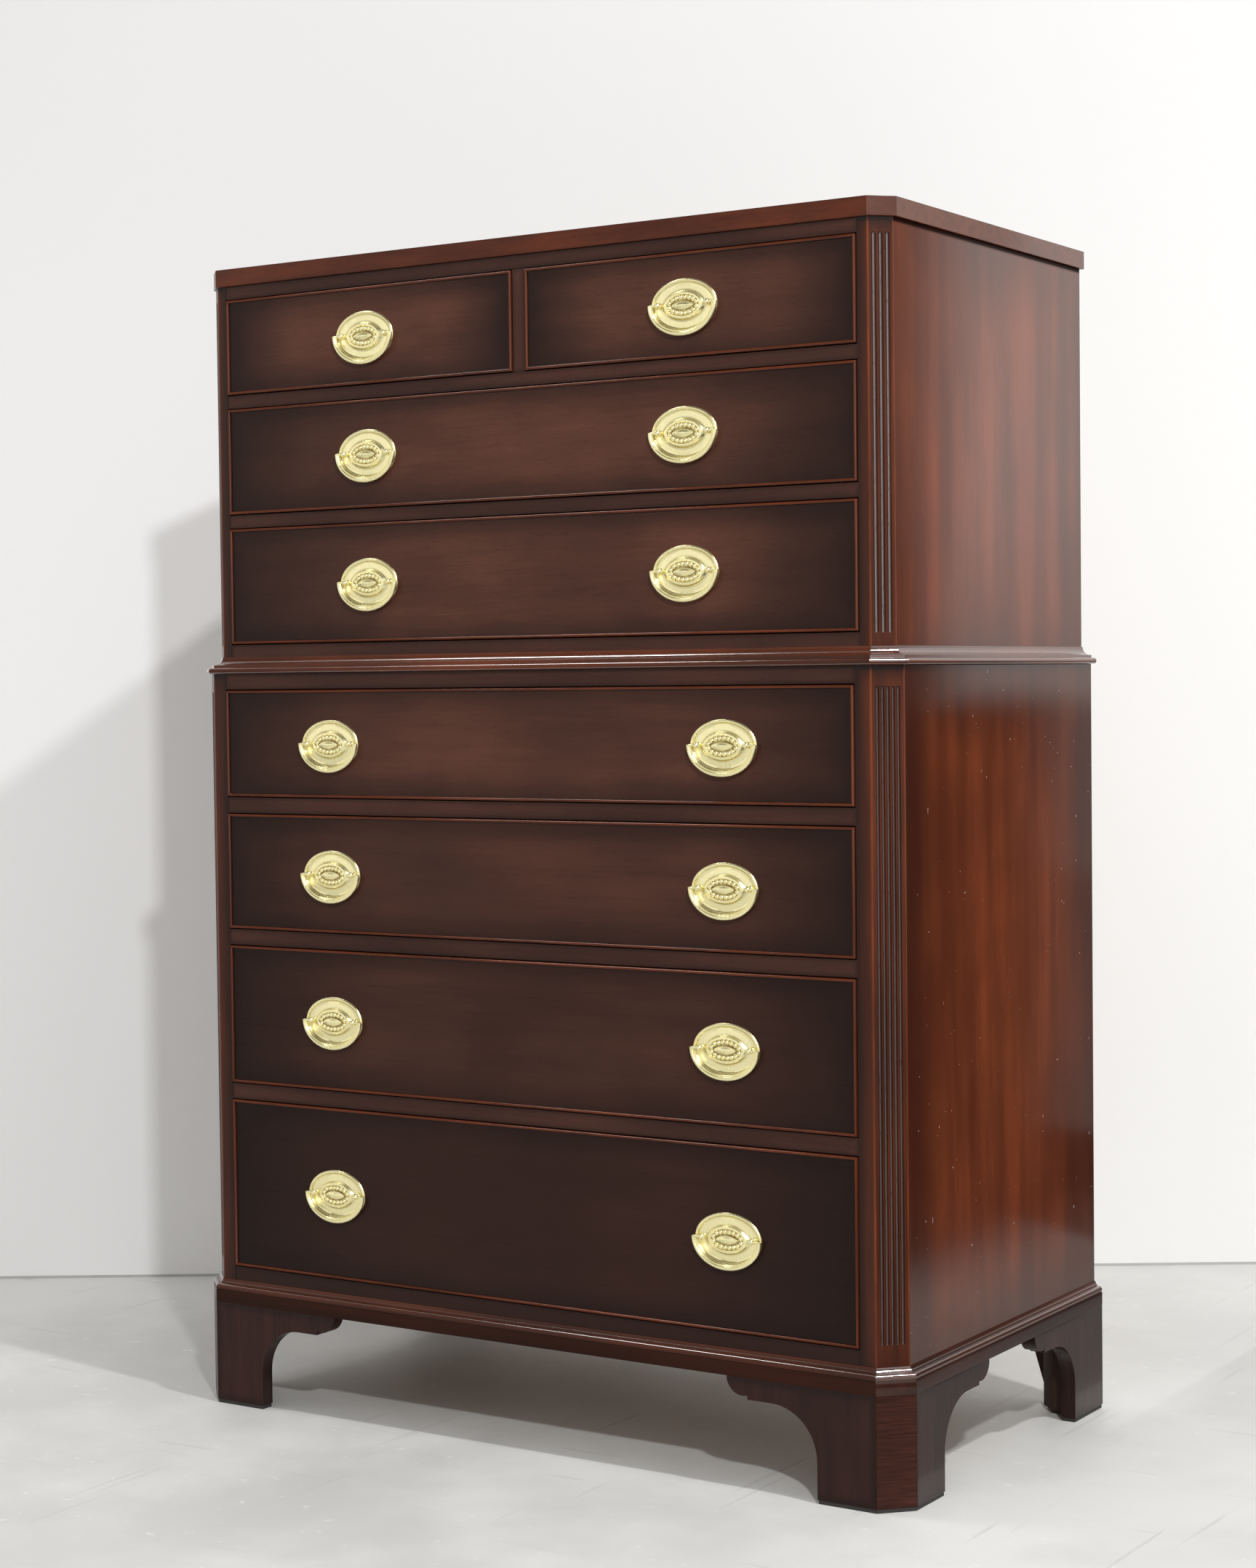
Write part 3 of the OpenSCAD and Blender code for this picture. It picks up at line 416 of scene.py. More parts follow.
def worn_edges():
    """A broken mask along the worn edges that the mesh marks as its crests."""
    if "Worn edges" in bpy.data.node_groups:
        return bpy.data.node_groups["Worn edges"]
    tree, given, result = shader_group("Worn edges", {"Amount": 0.6}, ["Worn"])
    grain = vector_calc(tree, "MULTIPLY", attribute(tree, "grain", "Vector"), (1.0, 1.0, 0.12))
    patches = carry(tree, noise(tree, grain, 90.0, 3.0, 0.7), 0.3, 0.7, 0.25, 1.0)
    rubbed = calc(tree, "MULTIPLY", attribute(tree, "crest"), patches)
    tree.links.new(calc(tree, "MULTIPLY", rubbed, given["Amount"]), result["Worn"])
    return tree


def place_group(tree, group, **values):
    """A node group placed in a material, with its values."""
    node = add(tree, "ShaderNodeGroup", node_tree=group)
    for name, value in values.items():
        node.inputs[name.replace("_", " ").capitalize()].default_value = value
    return node.outputs


def new_material(name):
    """A material with its tree and its Principled shader."""
    material = bpy.data.materials.new(name)
    material.use_nodes = True
    tree = material.node_tree
    return material, tree, tree.nodes["Principled BSDF"]


def bump(tree, shader, height, strength, distance):
    """Small relief on a shader's normal."""
    relief = add(tree, "ShaderNodeBump", {"Height": height, "Strength": strength, "Distance": distance})
    tree.links.new(relief.outputs["Normal"], shader.inputs["Normal"])


@dataclass
class Look:
    """How a wooden finish looks: widths in metres, and shares from 0 to 1."""
    deep: list
    warm: list
    # Width of the stripes, and how many times longer than wide they are
    stripe_width: float = 0.02
    squeeze: float = 12.0
    # How much of the stripes and of the clouds shows
    contrast: float = 0.65
    clouds: float = 0.5
    pores: float = 0.3
    # Width and share of the dark toning along the edges, and share of that at the ends
    edge_width: float = 0.01
    edge_dark: float = 0.3
    end_dark: float = 0.0
    # Share of the painted shadow line under the piece above, of worn wood on the crests, and of pale specks
    shadow_line: float = 0.0
    worn: float = 0.6
    specks: float = 0.0
    # Share of the polish, and what faces that look straight to the front have instead
    polish: float = 0.0
    front_polish: float = None
    coat_roughness: float = 0.1
    coat_ior: float = 1.6
    # Sheen of the wood below the polish
    gloss: float = 0.25
    roughness: tuple = (0.26, 0.38)


def figured(tree, look, figure):
    """The colour of the wood with its stripes, streaks and clouds."""
    streak_share = 0.3
    stripes = carry(tree, figure["Stripes"], 0.25, 0.75)
    striped = calc(tree, "MULTIPLY_ADD", stripes, look.contrast, (1 - streak_share - look.contrast) / 2)
    streaked = calc(tree, "MULTIPLY_ADD", figure["Streaks"], streak_share, striped)
    clouds = carry(tree, figure["Clouds"], 0.3, 0.7)
    cloudy = calc(tree, "MULTIPLY_ADD", clouds, look.clouds, 1 - look.clouds)
    return blend_colour(tree, calc(tree, "MULTIPLY", streaked, cloudy), rgba(look.deep), rgba(look.warm))


def coat_weight(tree, look, painted_shadow):
    """How much polish a point has: less on front faces, in the painted shade and along the painted shadow
    line.
    """
    if look.front_polish is not None:
        facing = parts(tree, coordinates(tree, "Normal"))[1]
        weight = carry(tree, facing, -0.95, -0.75, look.front_polish, look.polish)
        return calc(tree, "MULTIPLY", weight, carry(tree, attribute(tree, "shade"), 0.4, 0.7, 1.0, 0.3))
    if look.polish and look.shadow_line:
        return calc(tree, "MULTIPLY_ADD", painted_shadow, -look.polish, look.polish)
    return look.polish


def wood(name, look):
    """Polished or bare wood: figure along the grain, then toning, painted shade and shadow, wear, painted
    highlights and specks over it.
    """
    tones = settings().wood
    material, tree, shader = new_material(name)
    figure = place_group(tree, wood_figure(), stripe_width=look.stripe_width, squeeze=look.squeeze)
    edges = place_group(tree, board_edges(), width=look.edge_width, end_share=tones.end_tone_share)
    rubbed = place_group(tree, worn_edges(), amount=look.worn)["Worn"]
    # The painted highlight shows less on the pores
    highlight_amount = carry(tree, figure["Pores"], 0.0, 1.0, 0.9, 0.3)
    # A painted shadow line just under the piece above
    below_top = parts(tree, attribute(tree, "from_high", "Vector"))[2]
    painted_shadow = calc(tree, "MULTIPLY", carry(tree, below_top, 0.003, 0.007, 1.0, 0.0), look.shadow_line)
    dots = carry(tree, noise(tree, attribute(tree, "grain", "Vector"), 230.0, 0.0), 0.87, 0.89)
    colour = figured(tree, look, figure)
    # The shade mark and the sunk flutes get painted shade, and the pale highlight mark is a painted highlight
    # and sheen
    for mask, amount, over in (
        (attribute(tree, "shade"), 0.85, rgba(look.deep, 0.5)),
        (edges["Near ends"], look.end_dark, rgba(look.deep, 0.25)),
        (edges["Near"], look.edge_dark, rgba(look.deep, 0.25)),
        (figure["Pores"], look.pores, rgba(look.deep, 0.45)),
        (attribute(tree, "sunk"), 0.75, rgba(look.deep, 0.3)),
        (rubbed, 1.0, rgba(tones.worn)),
        (attribute(tree, "wax"), highlight_amount, rgba(tones.wax)),
        # The painted shadow line under the piece above
        (painted_shadow, 1.0, rgba(look.deep, 0.15)),
        # Pale specks in the wood, in the highlight colour made brighter
        (dots, look.specks, rgba(tones.wax, 2.0)),
    ):
        colour = blend_colour(tree, calc(tree, "MULTIPLY", mask, amount), colour, over)
    fill(tree, shader, {
        "Base Color": colour, "Roughness": carry(tree, figure["Streaks"], 0.2, 0.8, *look.roughness),
        "Specular IOR Level": look.gloss, "Coat Weight": coat_weight(tree, look, painted_shadow),
        "Coat Roughness": look.coat_roughness, "Coat IOR": look.coat_ior,
    })
    bump(tree, shader, calc(tree, "SUBTRACT", figure["Streaks"], figure["Pores"]), 0.25, 0.0002)
    return material


def brass(name):
    """Bright satin brass, deeper in its hollows."""
    pull = settings().pull
    material, tree, shader = new_material(name)
    place = coordinates(tree)
    patches = carry(tree, noise(tree, place, 160.0, 3.0, 0.6), 0.3, 0.7)
    hollow = calc(tree, "MULTIPLY", attribute(tree, "sunk"), calc(tree, "MULTIPLY_ADD", patches, 0.4, 0.6))
    fill(tree, shader, {
        "Base Color": blend_colour(tree, hollow, rgba(pull.gold), rgba(pull.tarnish)),
        "Metallic": 1, "Roughness": carry(tree, patches, 0.0, 1.0, 0.26, 0.34),
    })
    bump(tree, shader, noise(tree, place, 900.0), 0.03, 0.0002)
    return material


def pad_black(name):
    """Dull black pads with scuffs."""
    material, tree, shader = new_material(name)
    place = coordinates(tree)
    scuffs = noise(tree, place, 90.0, 4.0, 0.7)
    fill(tree, shader, {
        "Base Color": blend_colour(tree, scuffs, (0.012, 0.011, 0.01, 1), (0.035, 0.031, 0.028, 1)),
        "Roughness": carry(tree, scuffs, 0.3, 0.7, 0.5, 0.75),
    })
    bump(tree, shader, noise(tree, place, 500.0), 0.3, 0.0003)
    return material


def wood_looks(tones):
    """The looks of all the wooden finishes."""
    drawer = Look(
        tones.drawer_deep, tones.drawer_warm, stripe_width=0.04, squeeze=6.0, contrast=0.4,
        edge_width=tones.tone_width, edge_dark=0.55, end_dark=0.8, gloss=0.14)
    rail = Look(
        tones.rail_deep, tones.rail_warm, stripe_width=0.03, edge_width=0.006, edge_dark=0.5, gloss=0.15)
    moulding = Look(
        tones.moulding_deep, tones.moulding_warm, squeeze=20.0, edge_width=0.001, edge_dark=0.1,
        polish=1.0, front_polish=0.1, coat_roughness=0.13, coat_ior=2.2, gloss=0.06)
    bead = replace(
        moulding, warm=tones.bead, worn=0.35, polish=0.5, coat_roughness=0.1, coat_ior=2.0, gloss=0.0)
    side = Look(
        tones.side_deep, tones.side_warm, stripe_width=0.05, squeeze=10.0, clouds=0.45, pores=0.1,
        edge_width=0.13, edge_dark=0.62, specks=0.55, polish=1.0, coat_ior=1.75, gloss=0.0)
    # The upper sides are a lighter copy of the side wood, for painted sheen, with a painted shadow line under
    # the top
    upper_side = replace(
        side, warm=toned(tones.side_warm, 1.15), clouds=0.35, edge_width=0.1, edge_dark=0.35, shadow_line=0.9,
        specks=0.0)
    top = Look(
        toned(tones.side_deep, 0.7), toned(tones.side_warm, 0.62), squeeze=5.0, edge_width=0.003,
        polish=0.25, front_polish=0.05, coat_ior=2.4, gloss=0.1)
    corner = Look(
        tones.corner_deep, tones.corner_warm, stripe_width=0.012, squeeze=16.0, edge_width=0.02,
        edge_dark=0.5, shadow_line=0.8, worn=0.65, gloss=0.22)
    foot = Look(
        tones.foot_deep, tones.foot_warm, stripe_width=0.012, edge_width=0.012, edge_dark=0.6,
        polish=0.45, front_polish=0.15, coat_roughness=0.12, gloss=0.1)
    foot_corner = Look(
        toned(tones.foot_deep, 1.3), toned(tones.foot_warm, 2.0), stripe_width=0.002, squeeze=30.0,
        edge_width=0.004, gloss=0.1)
    return {
        "Drawer mahogany": drawer, "Rail mahogany": rail, "Moulding mahogany": moulding,
        "Bead mahogany": bead, "Side mahogany": side, "Upper side mahogany": upper_side,
        "Top mahogany": top, "Corner mahogany": corner, "Foot mahogany": foot,
        "Foot corner mahogany": foot_corner,
        "Drawer lining": Look(
            toned(tones.lining, 0.6), tones.lining, stripe_width=0.03, roughness=(0.55, 0.7)),
        "Inner softwood": Look(toned(tones.softwood, 0.55), tones.softwood, roughness=(0.6, 0.8)),
        "Stained softwood": Look(toned(tones.stained, 0.5), tones.stained, roughness=(0.5, 0.7)),
    }


def finish(name):
    """A finish of the chest, made the first time that it is asked for."""
    if name in bpy.data.materials:
        return bpy.data.materials[name]
    if name == "Pale brass":
        return brass(name)
    if name == "Black pad":
        return pad_black(name)
    return wood(name, wood_looks(settings().wood)[name])


# Mesh helpers

def arc(x, y, radius, start, end, step=9.0):
    """Points on an arc, from one angle to another, in degrees."""
    count = max(2, round(abs(end - start) / step))
    angles = [math.radians(start + (end - start) * i / count) for i in range(count + 1)]
    return [(x + radius * math.cos(angle), y + radius * math.sin(angle)) for angle in angles]


def rounded(outline, radius):
    """A closed outline whose sharp corners are rounded."""
    points = []
    for before, corner, after in zip(outline[-1:] + outline[:-1], outline, outline[1:] + outline[:1]):
        corner = Vector(corner)
        back = Vector(before) - corner
        on = Vector(after) - corner
        if back.angle(on) > math.radians(150):
            points.append(tuple(corner))
            continue
        reach = min(radius, back.length / 3, on.length / 3)
        start = corner + back.normalized() * reach
        end = corner + on.normalized() * reach
        points += [tuple(start), tuple((start + end) / 4 + corner / 2), tuple(end)]
    return points


def loft(bm, rings, **marks):
    """A closed solid through rings of points. Marks are values for its points, one row for each ring."""
    layers = {name: bm.verts.layers.float.get(name) or bm.verts.layers.float.new(name) for name in marks}
    rows = [[bm.verts.new(point) for point in ring] for ring in rings]
    for name, values in marks.items():
        for row, levels in zip(rows, values):
            for vert, level in zip(row, levels):
                vert[layers[name]] = level
    count = len(rings[0])
    for near, far in zip(rows, rows[1:]):
        for i in range(count):
            j = (i + 1) % count
            bm.faces.new((near[i], near[j], far[j], far[i]))
    bm.faces.new(rows[0][::-1])
    bm.faces.new(rows[-1])


def solids(bm):
    """The separate solids of a mesh, each as a list of its points."""
    seen = set()
    found = []
    for first in bm.verts:
        if first in seen:
            continue
        seen.add(first)
        solid = [first]
        for vert in solid:
            for edge in vert.link_edges:
                other = edge.other_vert(vert)
                if other not in seen:
                    seen.add(other)
                    solid.append(other)
        found.append(solid)
    return found


def extent(verts):
    """Lowest and highest corner of some points."""
    low = Vector([min(vert.co[i] for vert in verts) for i in range(3)])
    high = Vector([max(vert.co[i] for vert in verts) for i in range(3)])
    return low, high


def bevel_sharp(bm, radius):
    """Rounds a mesh's sharp edges."""
    sharp = [edge for edge in bm.edges
             if len(edge.link_faces) == 2 and edge.calc_face_angle(0) > math.radians(35)]
    bmesh.ops.bevel(bm, geom=sharp, offset=radius, offset_type="OFFSET", segments=2, profile=0.5,
                    affect="EDGES", clamp_overlap=True)


def softened(node, radius, keep=None):
    """A copy of a CAD node's flat-sided solids, or of those that keep names, with rounded edges."""
    bm = bmesh.new()
    bm.from_mesh(frame["nodes"][node].data)
    bmesh.ops.remove_doubles(bm, verts=bm.verts, dist=1e-6)
    if keep:
        for solid in solids(bm):
            low, high = extent(solid)
            if not keep(high - low):
                bmesh.ops.delete(bm, geom=solid, context="VERTS")
    bmesh.ops.dissolve_limit(bm, angle_limit=math.radians(0.5), verts=bm.verts, edges=bm.edges)
    bevel_sharp(bm, radius)
    return bm


def mark_grain(bm, grain):
    """Gives each solid its grain and its distances to its corners.

    The grain runs along a numbered axis, level, or else along the solid's longest side."""
    names = ("grain", "from_low", "from_high")
    for name in names:
        bm.verts.layers.float_vector.new(name)
    layers = [bm.verts.layers.float_vector[name] for name in names]
    for solid in solids(bm):
        low, high = extent(solid)
        size = high - low
        axis = grain if grain in range(3) else max(range(3), key=lambda i: size[i])
        shift = (low + high) * GRAIN_SHIFT
        for vert in solid:
            spot = vert.co + shift
            if grain == "level":
                vert[layers[0]] = (spot.z, 0, spot.x + spot.y)
            else:
                vert[layers[0]] = (spot[axis - 2], spot[axis - 1], spot[axis])
            vert[layers[1]] = vert.co - low
            vert[layers[2]] = high - vert.co


def new_mesh(name, bm, material, smooth=20):
    """The finished mesh, smooth but for edges sharper than an angle."""
    bmesh.ops.recalc_face_normals(bm, faces=bm.faces)
    mesh = bpy.data.meshes.new(name)
    bm.to_mesh(mesh)
    bm.free()
    mesh.materials.append(finish(material))
    mesh.shade_smooth()
    mesh.set_sharp_from_angle(angle=math.radians(smooth))
    return mesh


def piece(name, mesh, body, slot, *nodes, at=(0, 0, 0)):
    """A piece of the chest that rides on a body and stands for CAD nodes."""
    obj = bpy.data.objects.new(name, mesh)
    obj.location = at
    bpy.context.scene.collection.objects.link(obj)
    bpy.context.view_layer.update()
    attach(obj, body)
    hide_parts(*nodes)
    return obj


def wooden(name, bm, material, body, slot, *nodes, grain=None, smooth=20, **marks):
    """A wooden piece with its grain. Marks are values from 0 to 1 for its points, or functions of a place."""
    mark_grain(bm, grain)
    for mark, value in {"shade": 0, **marks}.items():
        if not bm.verts.layers.float.get(mark):
            layer = bm.verts.layers.float.new(mark)
            for vert in bm.verts:
                vert[layer] = value(vert.co) if callable(value) else value
    return piece(name, new_mesh(name, bm, material, smooth), body, slot, *nodes)


# The case

def soft_copy(node, material, body, slot, grain=None, keep=None, name=None, **marks):
    """A flat-sided node with rounded edges and its grain."""
    bm = softened(node, settings().wood.edge_radius, keep)
    return wooden(name or node, bm, material, body, slot, node, grain=grain, **marks)


class CHEST_OT_case(bpy.types.Operator):
    """Build the top board, the side panels and the rails"""
    bl_idname = "chest.case"
    bl_label = "Case"

    def execute(self, context):
        foot_rail_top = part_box("drawer_8_front")[0][2]
        top_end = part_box("top_board")[1][0] - GLUE
        # The top's ends are paler: worn wood on the crests, with a painted sheen from the pale highlight mark
        soft_copy("top_board", "Top mahogany", "case", "mahogany", grain=0,
                  wax=lambda co: 0.4 if abs(co.x) > top_end else 0,
                  crest=lambda co: 1 if abs(co.x) > top_end else 0)
        for level, side in (("upper", "Upper side mahogany"), ("lower", "Side mahogany")):
            # The rail under the lowest drawer is darker, with painted shade and darker wood
            soft_copy(f"{level}_rails", "Rail mahogany", "case", "mahogany",
                      shade=lambda co: 0.8 if co.z < foot_rail_top else 0)
            for hand, _ in HANDS:
                soft_copy(f"{level}_side_{hand}", side, "case", "mahogany", grain=2)
        return {"FINISHED"}


class CHEST_OT_inner_case(bpy.types.Operator):
    """Build the runners, the case bottoms and the back boards"""
    bl_idname = "chest.inner_case"
    bl_label = "Inner case"

    def execute(self, context):
        for node in ("upper_runners", "lower_runners", "case_bottoms", "back_boards"):
            soft_copy(node, "Inner softwood", "case", "inner_softwood")
        return {"FINISHED"}


def flute_depth(across, z, centres, width, depth, foot, head):
    """Depth of the flutes at a point of the canted face."""
    radius = (width * width / 4 + depth * depth) / (2 * depth)
    past_end = max(foot + width / 2 - z, z - head + width / 2, 0)
    nearest = min(abs(across - centre) for centre in centres)
    reach = radius * radius - nearest * nearest - past_end * past_end
    return max(0.0, math.sqrt(max(reach, 0.0)) - radius + depth)


def post_columns(half, arris, centres, width, highlight_share):
    """Points across a canted face, each with the wear and the painted highlight that it gets."""
    columns = {}
    for side in (-1, 1):
        columns[side * (half - arris)] = (1, 0)
        columns[side * (half - 2 * arris)] = (0, 0)
    steps = 10
    middle = steps // 2
    # The middle of each flute gets the painted highlight
    highlighted = {middle - 1: highlight_share * 0.45, middle: highlight_share, middle + 1: highlight_share * 0.45}
    for centre in centres:
        for side in (-1, 1):
            columns[round(centre + side * (width + arris) / 2, 7)] = (0, 0)
        for k in range(steps + 1):
            across = width / 2 * math.cos(math.pi * k / steps)
            columns[round(centre + across, 7)] = (0, highlighted.get(k, 0))
    return columns


def post_levels(low, high, foot, head, width, arris):
    """Heights of a post's rings, close together at the flutes' round ends."""
    steps = [width / 2 * (1 - math.cos(math.radians(15 * k))) for k in range(7)]
    return [low, foot - arris, *[foot + step for step in steps],
            *[head - step for step in steps[::-1]], head + arris, high]


def fluted_post(bm, level, hand, sign, foot, head):
    """A corner post with its stile and its fluted canted face."""
    sizes = settings().corner
    depth, arris = sizes.depth, sizes.arris
    count, pitch, width, highlight_share = [
        getattr(sizes, f"{level}_{what}") for what in ("flutes", "pitch", "width", "wax")]
    low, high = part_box(f"{level}_corner_{hand}")
    side_low, side_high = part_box(f"{level}_side_{hand}")
    inner_x, outer_x = sorted((abs(low[0]), abs(high[0])))
    panel_x = min(abs(side_low[0]), abs(side_high[0]))
    front, back = low[1], high[1]
    cant = side_low[1] - front
    half = cant / math.sqrt(2)
    stile_x = outer_x - cant - 3 * arris
    centres = [(i - (count - 1) / 2) * pitch for i in range(count)]
    columns = sorted(post_columns(half, arris, centres, width, highlight_share).items())
    rings = []
    marks = {"crest": [], "sunk": [], "wax": [], "shade": []}
    for z in post_levels(low[2], high[2], foot, head, width, arris):
        # A point is its place across and in depth, then its value for each mark
        # The shade mark darkens the stile towards the drawer, and the canted face a little
        points = [(inner_x, front, 0, 0, 0, 1), ((inner_x + stile_x) / 2, front, 0, 0, 0, 0.4),
                  (stile_x, front, 0, 0, 0, 0.1), (stile_x + 2 * arris, front, 1, 0, 0, 0)]
        # Each flute gets painted shade in its hollow through the sunk mark, and a painted highlight in its
        # middle
        for across, (crest, wax) in columns:
            sunk = flute_depth(across, z, centres, width, depth, foot, head)
            along = (across + half) / math.sqrt(2)
            inward = sunk / math.sqrt(2)
            points.append((outer_x - cant + along - inward, front + along + inward,
                           crest, min(1.0, sunk / depth), wax * sunk / depth, 0.2))
        points += [(outer_x, front + cant, 0.4, 0, 0, 0), (panel_x, front + cant, 0, 0, 0, 0),
                   (panel_x, back, 0, 0, 0, 0), (inner_x, back, 0, 0, 0, 0)]
        rings.append([(sign * x, y, z) for x, y, *_ in points])
        for values, row in zip(marks.values(), list(zip(*points))[2:]):
            values.append(row)
    # The ends lie in the shade of the board and the mouldings
    dim = 0.75
    for i in (0, -1):
        marks["shade"][i] = [max(tone, dim) for tone in marks["shade"][i]]
    loft(bm, rings, **marks)


class CHEST_OT_corners(bpy.types.Operator):
    """Build the corner posts with their fluted canted faces"""
    bl_idname = "chest.corners"
    bl_label = "Corner posts"

    def execute(self, context):
        sizes = settings().corner
        base_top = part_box("base_moulding")[1][2]
        waist_low, waist_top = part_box("waist_moulding")[0][2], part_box("waist_moulding")[1][2]
        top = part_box("top_board")[0][2]
        for level, foot, head in (
            ("upper", waist_top + sizes.upper_foot, top - sizes.upper_head),
            ("lower", base_top + sizes.lower_foot, waist_low - sizes.lower_head),
        ):
            for hand, sign in HANDS:
                node = f"{level}_corner_{hand}"
                bm = bmesh.new()
                fluted_post(bm, level, hand, sign, foot, head)
                wooden(node, bm, "Corner mahogany", "case", "fluted_corner_mahogany", node, grain=2)
        return {"FINISHED"}


# Mouldings

def waist_section(sizes, reach, top):
    """Section of the waist moulding: outwards from the upper case and up."""
    nose_x = reach - sizes.nose_r
    fillet_x = reach - sizes.fillet_in
    fillet_top = top - sizes.cove_r
    cove_x = sizes.gap + sizes.cove_lip + sizes.cove_r
    foot = math.degrees(math.asin(sizes.cove_foot / sizes.cove_r))
    return [
        (sizes.gap, 0), *arc(nose_x, sizes.nose_r, sizes.nose_r, -90, 90),
        (fillet_x, 2 * sizes.nose_r), (fillet_x, fillet_top), (cove_x - sizes.cove_foot, fillet_top),
        *arc(cove_x, top, sizes.cove_r, 270 - foot, 180), (sizes.gap, top),
    ]


def base_section(sizes, reach, top):
    """Section of the base moulding and its rail: outwards from the lower case and up."""
    groove_top = sizes.rail_h + sizes.groove_h
    groove_x = reach - sizes.groove_d
    thumb_x = reach - sizes.thumb_in - sizes.thumb_r
    cove_z = groove_top + sizes.thumb_h
    cove_x = sizes.small_cove_lip + sizes.small_cove_r
    cove_end = math.degrees(math.acos((cove_x - sizes.small_cove_out) / sizes.small_cove_r))
    return [
        (0, 0), (reach, 0), (reach, sizes.rail_h), (groove_x, sizes.rail_h), (groove_x, groove_top),
        *arc(thumb_x, cove_z - sizes.thumb_r, sizes.thumb_r, -27, 90), (sizes.small_cove_out, cove_z),
        *arc(cove_x, top, sizes.small_cove_r, 180 + cove_end, 180), (0, top),
    ]


def moulding(bm, section, half_x, front, back, cant, z):
    """Five mitred lengths of a moulding round the front of a canted case."""
    gap = GLUE / 2

    def ring(sign, plan):
        return [(sign * plan(out)[0], plan(out)[1], z + up) for out, up in section]

    def side_mitre(out, beside, away):
        return half_x + out + beside, front + cant - MITRE * out + away

    def front_mitre(out, beside, away):
        return half_x - cant + MITRE * out + beside, front - out + away

    for _, sign in HANDS:
        loft(bm, [ring(sign, lambda out: (half_x + out, back)),
                  ring(sign, lambda out: side_mitre(out, 0, gap))])
        loft(bm, [ring(sign, lambda out: side_mitre(out, -gap, -gap)),
                  ring(sign, lambda out: front_mitre(out, gap, gap))])
    loft(bm, [ring(sign, lambda out: front_mitre(out, -gap, 0)) for _, sign in HANDS])


class CHEST_OT_mouldings(bpy.types.Operator):
    """Build the waist moulding and the base moulding"""
    bl_idname = "chest.mouldings"
    bl_label = "Mouldings"

    def execute(self, context):
        sizes = settings().moulding
        radius = settings().wood.edge_radius
        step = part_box("lower_side_right")[1][0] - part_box("upper_side_right")[1][0]
        base_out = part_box("lower_corner_right")[0][1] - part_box("base_moulding")[0][1]
        for node, level, section, reach in (
            ("waist_moulding", "upper", waist_section, step + sizes.nose_out),
            ("base_moulding", "lower", base_section, base_out),
        ):
            low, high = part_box(node)
            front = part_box(f"{level}_corner_right")[0][1]
            side_low, side_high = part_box(f"{level}_side_right")
            outline = rounded(section(sizes, reach, high[2] - low[2]), radius / 2)
            bm = bmesh.new()
            moulding(bm, outline, side_high[0], front, high[1], side_low[1] - front, low[2])
            flat_top = low[2] + sizes.rail_h + radius
            # The base moulding gets painted shade and darker wood, its flat rail most
            shade = 0 if node == "waist_moulding" else lambda co: 0.9 if co.z < flat_top else 0.4
            wooden(node, bm, "Moulding mahogany", "case", "mahogany", node, smooth=40, shade=shade)
        return {"FINISHED"}


# Feet

def bracket_outline(sizes, leg_w, height):
    """Outline of a bracket: out from the leg's inner edge along the arm, and up from the pad."""
    spring = height - sizes.arm_h - sizes.scroll_r
    arm_end = sizes.scroll_r + sizes.arm_flat
    lobe_start = math.degrees(math.acos(-sizes.lobe_out / sizes.lobe_r))
    return [
        (-leg_w, 0), (0, 0), *arc(sizes.scroll_r, spring, sizes.scroll_r, 180, 90, 5),
        (arm_end, height - sizes.arm_h),
        *arc(arm_end + sizes.lobe_out, height, sizes.lobe_r, -lobe_start, 0, 9), (-leg_w, height),
    ]


def bracket(bm, outline, near, far, place):
    """A bracket cut from its outline, between two faces."""
    loft(bm, [[place(out, up, face) for out, up in outline] for face in (near, far)])


def eased_foot(bm, name, node):
    """A foot's brackets with their edges rounded."""
    bmesh.ops.recalc_face_normals(bm, faces=bm.faces)
    bevel_sharp(bm, settings().wood.edge_radius)
    wooden(name, bm, "Foot mahogany", "case", "mahogany", node, grain=2)


